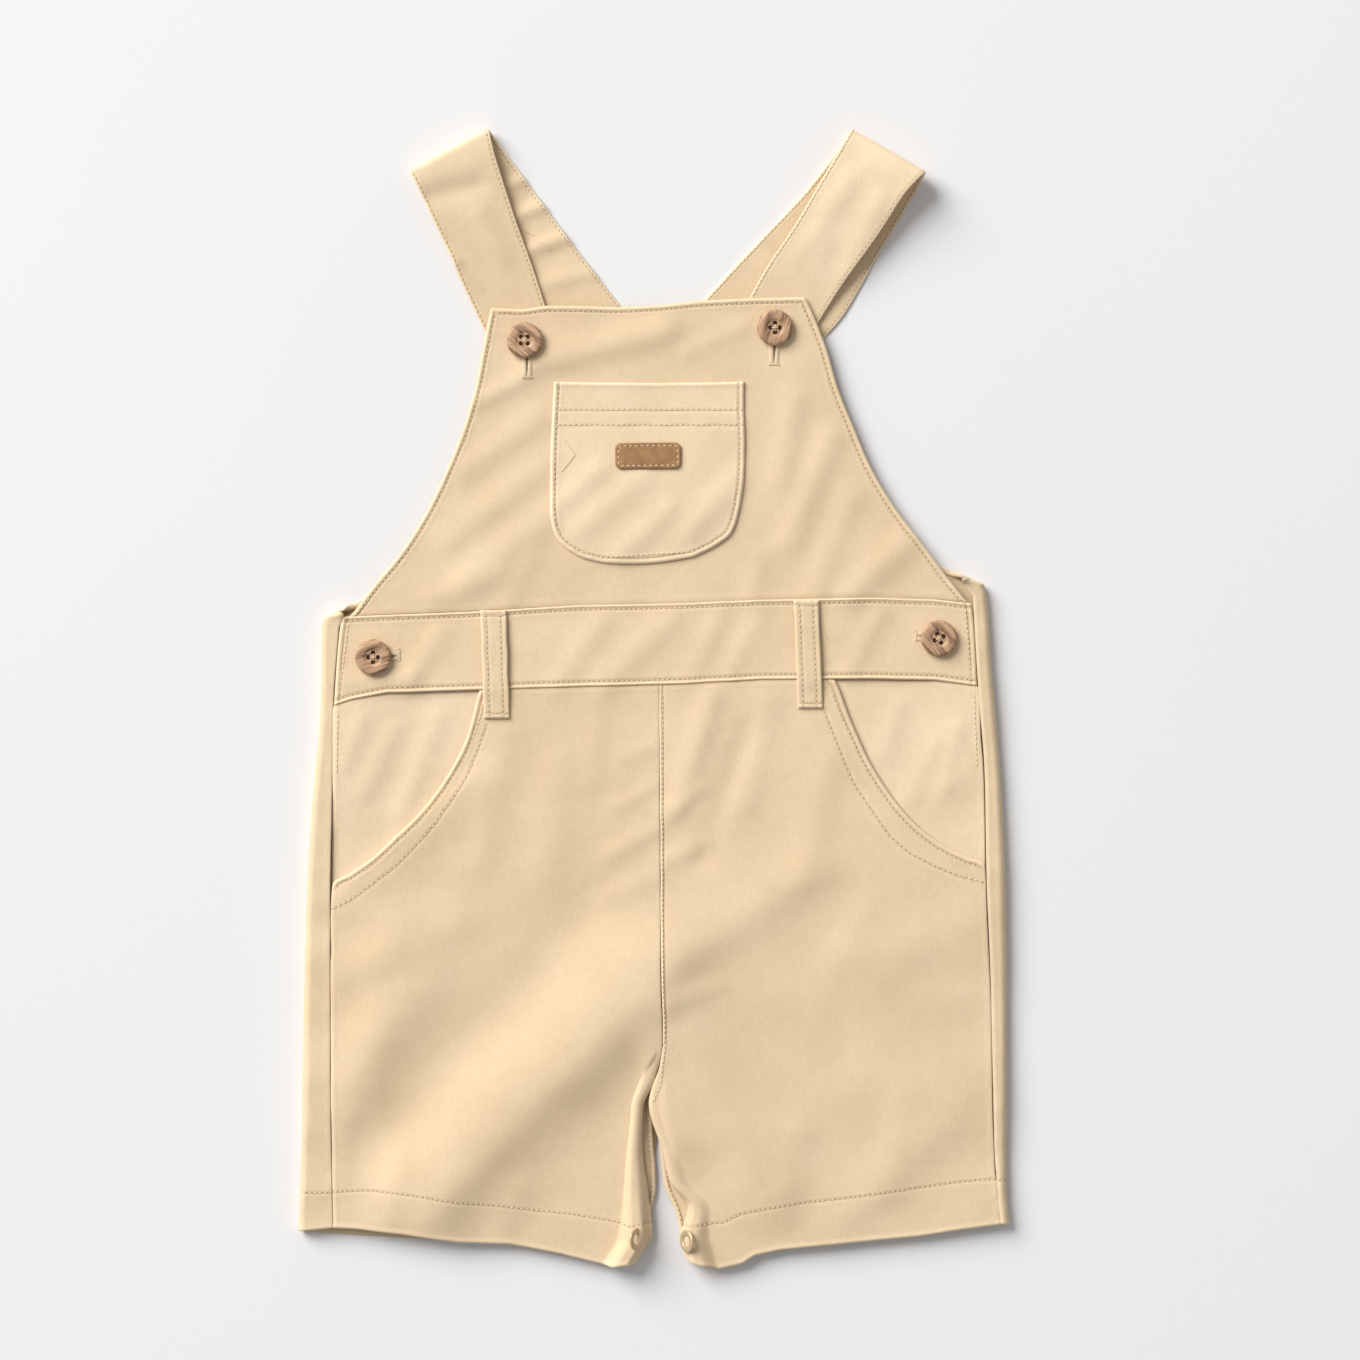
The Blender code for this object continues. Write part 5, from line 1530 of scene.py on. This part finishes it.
def make_buttons():
    R, T = BUTTON_D / 2, BUTTON_T
    profile = (
        (0.0, 0.0), (R - 1.5, 0.0), (R - 0.8, 0.22), (R - 0.3, 0.65), (R - 0.06, 1.2),
        (R, 1.65), (R - 0.10, 2.15), (R - 0.36, 2.6), (R - 0.8, 2.9), (R - 1.3, T),
        (R - 2.0, T + 0.02), (R - 3.0, T - 0.02), (R - 3.6, T - 0.10), (R - 4.0, T - 0.30),
        (R - 4.25, T - 0.56), (R - 4.7, T - 0.66), (1.0, T - 0.70), (0.0, T - 0.70),
    )
    for name, button in BUTTONS.items():
        look = BUTTON_LOOK[name]
        x, y = button["x"], button["y"]
        obj = lathe_object(f"wood_{name}", profile, 72, wood)
        hits = [
            drop(x + (R - 1.5) * math.cos(a), y + (R - 1.5) * math.sin(a), [look["on"]])
            for a in np.linspace(0, math.tau, 13)[:-1]
        ]
        hits = [hit for hit in hits if hit]
        ringed = np.array([hit[0] for hit in hits])
        fit = np.linalg.lstsq(np.c_[ringed[:, :2], np.ones(len(ringed))], ringed[:, 2], rcond=None)[0]
        face = np.array((-fit[0], -fit[1], 1.0))
        face /= np.linalg.norm(face)
        plane = ringed @ face
        height = (plane.max() + 0.08 - face[0] * x - face[1] * y) / face[2]
        turn = look["grain"]
        drills = []
        for sx, sy in ((1, 1), (-1, 1), (-1, -1), (1, -1)):
            angle = math.radians(button["turn"] - turn)
            px, py = sx * BUTTON_HOLE_PITCH / 2, sy * BUTTON_HOLE_PITCH / 2
            hx = px * math.cos(angle) - py * math.sin(angle)
            hy = px * math.sin(angle) + py * math.cos(angle)
            drills.append((hx, hy))
            bm = bmesh.new()
            bmesh.ops.create_cone(
                bm, cap_ends=True, segments=20, radius1=0.95 * MM,
                radius2=0.95 * MM, depth=8 * MM,
            )
            bmesh.ops.translate(bm, verts=bm.verts, vec=Vector((hx, hy, 1.5)) * MM)
            cutter_mesh = bpy.data.meshes.new("drill")
            bm.to_mesh(cutter_mesh)
            bm.free()
            cutter = bpy.data.objects.new("drill", cutter_mesh)
            bpy.context.scene.collection.objects.link(cutter)
            hole = obj.modifiers.new("hole", "BOOLEAN")
            hole.operation, hole.solver, hole.object = "DIFFERENCE", "EXACT", cutter
            bpy.context.view_layer.update()
            graph = bpy.context.evaluated_depsgraph_get()
            bored = bpy.data.meshes.new_from_object(obj.evaluated_get(graph))
            obj.modifiers.clear()
            obj.data = bored
            bpy.data.objects.remove(cutter, do_unlink=True)
        obj.data.polygons.foreach_set("use_smooth", np.ones(len(obj.data.polygons), bool))
        obj.data.set_sharp_from_angle(angle=math.radians(42))
        stand(obj, (x, y, height), face, turn)
        # Thread over the middle, from hole to hole, going down into them.
        made = Bundle()
        rng = np.random.default_rng(len(name))
        spin = Vector((1, 0, 0)).rotation_difference(
            Vector((math.cos(math.radians(turn)), math.sin(math.radians(turn)), 0))
        )
        quat = Vector((0, 0, 1)).rotation_difference(Vector(face)) @ spin
        for hx, hy in drills:
            # A dark sleeve down in the hole: painted shade for the cloth and thread lying in shadow there.
            path = np.array([quat @ Vector((hx, hy, h)) + Vector((x, y, height)) for h in (0.25, 0.6, 0.95, 1.3)])
            bundles.setdefault("needle_hole_shade", Bundle()).tube(
                path, np.tile(quat @ Vector((1, 0, 0)), (4, 1)), (0.93, 0.93, 0.93, 0.93), sides=14
            )
        for a, b in ((0, 2), (1, 3)):
            for strand in (-0.12, 0.12):
                (ax, ay), (bx, by) = drills[a], drills[b]
                way = np.array((bx - ax, by - ay))
                way /= np.linalg.norm(way)
                off = np.array((-way[1], way[0])) * (strand + rng.uniform(-0.04, 0.04))
                top = T - 0.76 + (0.30 if a == 0 else 0.58)
                local = [
                    (ax + way[0] * 0.55 + off[0], ay + way[1] * 0.55 + off[1], 0.9),
                    (ax + way[0] * 0.55 + off[0], ay + way[1] * 0.55 + off[1], T - 1.2),
                    (ax + way[0] * 0.8 + off[0], ay + way[1] * 0.8 + off[1], top - 0.06),
                    ((ax + bx) / 2 + off[0], (ay + by) / 2 + off[1], top + 0.10),
                    (bx - way[0] * 0.8 + off[0], by - way[1] * 0.8 + off[1], top - 0.06),
                    (bx - way[0] * 0.55 + off[0], by - way[1] * 0.55 + off[1], T - 1.2),
                    (bx - way[0] * 0.55 + off[0], by - way[1] * 0.55 + off[1], 0.9),
                ]
                local = resample(local, np.linspace(0, reach_of(local), 17))
                path = np.array([quat @ Vector(p) + Vector((x, y, height)) for p in local])
                up = np.cross(np.gradient(path, axis=0), quat @ Vector((*off, 0)) if strand else quat @ Vector((-way[1], way[0], 0)))
                up = np.where(np.linalg.norm(up, axis=1, keepdims=True) < 1e-6, (0, 0, 1.0), up)
                made.tube(path, up, np.full(len(path), 0.11), sides=6)
        bundles[f"thread_{name}"] = made
        parts[f"wood_{name}"] = dict(obj=obj)


def make_buttonholes():
    """Satin-sewn buttonholes, as far as they show beside their buttons."""
    bib, band = ["twill_bib"], ["twill_waistband"]
    for start, tip, names, seed in (
        ((-53.0, 146.0), (-52.8, 134.0), bib, 81),
        ((50.3, 151.0), (50.0, 139.6), bib, 82),
        ((-112.0, 17.6), (-106.2, 18.0), band, 83),
        ((114.2, 25.6), (109.2, 26.3), band, 84),
    ):
        start, tip = np.array(start), np.array(tip)
        way = (tip - start) / np.linalg.norm(tip - start)
        side = np.array((-way[1], way[0]))
        for s in (-1, 1):
            bar("thread_buttonholes", start + side * s * 1.35, tip + side * s * 1.0 - way * 0.8, 2.1, names, pitch=0.33, radius=0.2, seed=seed)
        bar("thread_buttonholes", tip - side * 2.0, tip + side * 2.0, 1.5, names, pitch=0.36, seed=seed)
        # A dark tube along the slit: painted shade in the cut.
        slit = [start + way * g for g in np.linspace(0, np.linalg.norm(tip - start) - 1.2, 12)]
        hits = [drop(*spot, names) for spot in slit]
        path = np.array([hit[0] for hit in hits]) + (0, 0, 0.10)
        bundles.setdefault("buttonhole_slit_shade", Bundle()).tube(
            path, np.array([hit[1] for hit in hits]), np.interp(np.arange(12), (0, 6, 11), (0.55, 0.42, 0.05)), sides=8
        )


def make_label():
    """A tab of leather with eased edges, that follows the pocket under it, bare."""
    x0, y0 = LABEL_AT
    across, up = 57, 25
    half_w, half_h = LABEL_W / 2, LABEL_H / 2
    # A rounded rectangle from a square grid: each point goes out by the same share.
    a, b = np.meshgrid(spread(across, 0.6) * 2 - 1, 1 - 2 * spread(up, 0.6))
    share = np.maximum(np.abs(a), np.abs(b))
    X, Y = a * half_w, b * half_h
    corner_x = np.maximum(np.abs(X) - (half_w - LABEL_R), 0)
    corner_y = np.maximum(np.abs(Y) - (half_h - LABEL_R), 0)
    far = np.maximum(np.maximum(corner_x, corner_y), 1e-9)
    shrink = far / np.maximum(np.hypot(corner_x, corner_y), 1e-9)
    X = np.sign(X) * np.where(corner_x > 0, half_w - LABEL_R + corner_x * shrink, np.abs(X))
    Y = np.sign(Y) * np.where(corner_y > 0, half_h - LABEL_R + corner_y * shrink, np.abs(Y))
    gap = np.minimum(half_w - np.abs(X), half_h - np.abs(Y))
    inside = np.hypot(
        np.maximum(np.abs(X) - (half_w - LABEL_R), 0), np.maximum(np.abs(Y) - (half_h - LABEL_R), 0)
    )
    d = np.where((corner_x > 0) & (corner_y > 0), LABEL_R - inside, gap)
    turn = math.radians(0.6)
    XX = x0 + X * math.cos(turn) - Y * math.sin(turn)
    YY = y0 + X * math.sin(turn) + Y * math.cos(turn)
    Z = np.array(
        [[drop(px, py, ["twill_patch_pocket"])[0].z for px, py in zip(rx, ry)] for rx, ry in zip(XX, YY)]
    )
    Z = 0.35 * Z + 0.65 * Z.max() + 0.05
    P = np.stack([XX, YY, Z], axis=-1)
    wall = (
        0.95
        - 0.42 * np.exp(-((d / 0.28) ** 2))
        - 0.15 * np.exp(-(((d - 1.35) / 0.42) ** 2))
        + 0.03 * waves(XX, YY, 91, 6)
    )
    outer = P + normals(P) * wall[..., None]
    shell("label_leather", P, outer, leather)
    inset = 1.35
    w, h, r = half_w - inset, half_h - inset, LABEL_R - inset
    line = []
    for cx, cy, start in ((1, 1, 0), (-1, 1, 90), (-1, -1, 180), (1, -1, 270)):
        for k in range(7):
            angle = math.radians(start + 90 * k / 6)
            px, py = cx * (w - r) + r * math.cos(angle), cy * (h - r) + r * math.sin(angle)
            line.append(
                (x0 + px * math.cos(turn) - py * math.sin(turn), y0 + px * math.sin(turn) + py * math.cos(turn))
            )
    line.append(line[0])
    sew("thread_label", line, ["label_leather"], pitch=2.35, length=1.6, radius=0.20, seed=92)


SNAP_LEAN = {"snap_hem_left": 0.82, "snap_hem_right": -0.82}


def make_snaps():
    for name, snap in SNAPS.items():
        outer = snap["d"] / 2
        inner = outer * SNAP_BORE_D / SNAP_D
        profile = (
            (inner, 0.0), (outer - 0.4, 0.0), (outer - 0.1, 0.18), (outer, 0.45),
            (outer - 0.1, 0.72), (outer - 0.38, 0.94), (outer - 0.75, 1.04),
            ((outer + inner) / 2, SNAP_T), (inner + 0.35, 1.0), (inner + 0.1, 0.8), (inner, 0.5),
        )
        carrier = {
            "front_leg_left": "twill_leg_left",
            "front_leg_right": "twill_leg_right",
            "snap_band_right": "twill_snap_band_right",
        }[snap["on"]]
        obj = lathe_object(f"ring_{name}", profile, 48, enamel)
        hits = [
            drop(snap["x"] + outer * 0.5 * math.cos(a), snap["y"] + outer * 0.5 * math.sin(a), [carrier])
            for a in np.linspace(0, math.tau, 9)[:-1]
        ]
        hits = [hit for hit in hits if hit]
        face = np.mean([np.array(hit[1]) for hit in hits], axis=0)
        face /= np.linalg.norm(face)
        if name in SNAP_LEAN:
            # The cloth stands up here, so the ring is seen nearly from its side.
            face = np.array((SNAP_LEAN[name], 0.4 * face[1], 0.56))
            face /= np.linalg.norm(face)
        spot = np.mean([np.array(hit[0]) for hit in hits], axis=0)
        z = spot[2] - (face[0] * (snap["x"] - spot[0]) + face[1] * (snap["y"] - spot[1])) / face[2]
        stand(obj, np.array((snap["x"], snap["y"], z)) + face * (0.75 if name in SNAP_LEAN else 0.12), face, 0)
        parts[f"ring_{name}"] = dict(obj=obj)


# Loose thread ends that the sewer left, on the cloth under them.
LOOSE = (
    dict(x=(-38.8, -32.9, -38.5), y=(109.6, 101.9, 94.6), on="twill_patch_pocket"),
    dict(x=(-137.1, -135.6, -134.2), y=(8.3, 6.2, 4.6), on="twill_back_left"),
    dict(x=(70.0, 71.6, 72.5), y=(28.8, 26.4, 24.6), on="twill_waistband"),
    dict(x=(-107.6, -106.2, -105.4), y=(20.2, 21.4, 19.8), on="twill_waistband"),
    dict(x=(110.4, 108.9, 108.2), y=(28.0, 29.0, 27.6), on="twill_waistband"),
)


def make_loose_threads():
    made = bundles.setdefault("thread_loose", Bundle())
    for k, row in enumerate(LOOSE):
        line = np.stack([row["x"], row["y"]], -1)
        knots = np.linspace(0, 1, len(line))
        t = np.linspace(0, 1, 25)
        fit = [np.interp(t, knots, line[:, q]) for q in (0, 1)]
        hits = [drop(x, y, [row["on"]]) for x, y in zip(*fit)]
        keep = [hit for hit in hits if hit]
        if len(keep) < 6:
            continue
        path = np.array([hit[0] for hit in keep]) + (0, 0, 0.16)
        path[:, 2] += 0.15 * np.sin(np.linspace(0, math.pi, len(path)))
        made.tube(path, np.array([hit[1] for hit in keep]), np.full(len(path), 0.11), sides=6)
    # One lies on the back run of the left strap.
    line = resample([(-55.4, 195.8), (-50.4, 193.8), (-45.8, 189.6), (-43.3, 187.1)], np.linspace(0, 15, 25))
    hits = [drop(x, y, ["twill_strap_left:inside"]) for x, y in line]
    keep = [hit for hit in hits if hit]
    if len(keep) > 5:
        path = np.array([hit[0] for hit in keep]) + (0, 0, 0.2)
        made.tube(path, np.array([hit[1] for hit in keep]), np.full(len(path), 0.11), sides=6)


# ----------------------------------------------------------------- the scene
def make_stage():
    size = 4000
    floor = mesh_object(
        "floor",
        np.array([(-size, -size, 0), (size, -size, 0), (size, size, 0), (-size, size, 0)], float) - SHIFT,
        [(0, 1, 2, 3)],
        floor_finish(),
        smooth=False,
    )
    key = bpy.data.lights.new("key", "AREA")
    key.shape, key.size, key.energy = "DISK", 6.5, KEY_POWER
    key.color = (1.0, 0.985, 0.965)
    lamp = bpy.data.objects.new("key", key)
    bpy.context.scene.collection.objects.link(lamp)
    lamp.location = Vector(KEY_AT)
    lamp.rotation_mode = "QUATERNION"
    lamp.rotation_quaternion = (Vector((0.05, -0.05, 0)) - lamp.location).to_track_quat("-Z", "Y")
    world = bpy.data.worlds.new("studio")
    bpy.context.scene.world = world
    world.use_nodes = True
    back = world.node_tree.nodes["Background"]
    back.inputs["Color"].default_value = (0.985, 0.985, 0.985, 1)
    back.inputs["Strength"].default_value = FILL
    camera = bpy.data.cameras.new("camera")
    holder = bpy.data.objects.new("camera", camera)
    bpy.context.scene.collection.objects.link(holder)
    reach = 1.6
    camera.sensor_width = 36
    camera.lens = 36 * (reach - 0.005) / 0.56667
    camera.clip_start, camera.clip_end = 0.05, 20
    holder.location = (0.01083, 0.00792 - 0.000475, reach)
    holder.rotation_euler = (0, 0, 0)
    bpy.context.scene.camera = holder
    bpy.context.scene.view_settings.view_transform = "Standard"
    bpy.context.scene.view_settings.look = "None"


def floor_finish():
    g = Graph("studio_floor")
    cloud = g.noise(2.2, 2.0)
    g.link(
        g.ramp(cloud, tuple(c * 0.985 for c in FLOOR), FLOOR, 0.3, 0.7),
        g.shader.inputs["Base Color"],
    )
    g.shader.inputs["Roughness"].default_value = 0.7
    g.shader.inputs["Specular IOR Level"].default_value = 0.2
    return g.made


KEY_AT = (-5.4, 5.0, 4.9)
KEY_POWER = 1100.0
FILL = 0.36

make_leg("twill_leg_left", LEG_LEFT, HEM_LEFT, HEM_ROW_LEFT, -1, 21)
make_leg("twill_leg_right", LEG_RIGHT, HEM_RIGHT, HEM_ROW_RIGHT, 0, 22)
make_bib()
make_waistband()
make_facings()
make_patch_pocket()
make_loops()
make_bands()
make_straps()
make_backs()
make_stitches()
make_strap_stitches()
make_buttons()
make_buttonholes()
make_label()
make_snaps()
make_loose_threads()
for name, bundle in bundles.items():
    if bundle.points:
        # Hole and slit tubes take the painted shade finish.
        finish = hole_shade_finish if name in ("needle_hole_shade", "buttonhole_slit_shade") else thread
        parts[name] = dict(obj=bundle.build(name, finish))
make_stage()

# Which solid each piece stands for, and the threads that go with it.
STANDS = {
    "twill_back_left": ("back_left", ["twill_leg_left"], []),
    "twill_back_right": ("back_right", ["twill_leg_right"], []),
    "twill_strap_left": ("strap_left", ["twill_back_left"], ["thread_strap_left"]),
    "twill_strap_right": ("strap_right", ["twill_back_right"], ["thread_strap_right"]),
    "twill_leg_left": ("front_leg_left", ["twill_back_left"], ["thread_leg_left", "ring_snap_hem_left"]),
    "twill_leg_right": ("front_leg_right", ["twill_back_right"], ["thread_leg_right", "ring_snap_hem_right"]),
    "twill_facing_left": ("pocket_facing_left", ["twill_back_left"], ["thread_facing_left"]),
    "twill_facing_right": ("pocket_facing_right", ["twill_back_right"], ["thread_facing_right"]),
    "twill_waistband": ("waistband_front", ["twill_back_left", "twill_back_right"], ["thread_waistband"]),
    "twill_bib": ("bib_front", ["twill_back_left", "twill_back_right"], ["thread_bib", "thread_buttonholes"]),
    "twill_patch_pocket": ("bib_pocket", ["twill_bib"], ["thread_patch_pocket"]),
    "twill_belt_loop_left": ("belt_loop_left", ["twill_waistband"], ["thread_belt_loop_left"]),
    "twill_belt_loop_right": ("belt_loop_right", ["twill_waistband"], ["thread_belt_loop_right"]),
    "twill_snap_band_left": ("snap_band_left", ["twill_back_left"], ["thread_snap_band_left"]),
    "twill_snap_band_right": ("snap_band_right", ["twill_back_right"], ["thread_snap_band_right", "ring_snap_crotch"]),
}
HARD = {
    "wood_button_bib_left": ("button_bib_left", "button_wood"),
    "wood_button_bib_right": ("button_bib_right", "button_wood"),
    "wood_button_side_left": ("button_side_left", "button_wood"),
    "wood_button_side_right": ("button_side_right", "button_wood"),
    "label_leather": ("label", "label_leather"),
    "ring_snap_hem_left": ("snap_hem_left", "snap_metal"),
    "ring_snap_crotch": ("snap_crotch", "snap_metal"),
    "ring_snap_hem_right": ("snap_hem_right", "snap_metal"),
}

for name, part in parts.items():
    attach(part["obj"], "root")
for name, (node, slot) in HARD.items():
    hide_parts(node)
for name, (node, rests, pieces) in STANDS.items():
    part = parts[name]
    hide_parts(node)

total = 0
for name, part in parts.items():
    count = sum(len(p.vertices) - 2 for p in part["obj"].data.polygons)
    total += count
    if count > 60000:
        print(name, count, "triangles")
print("triangles", total)
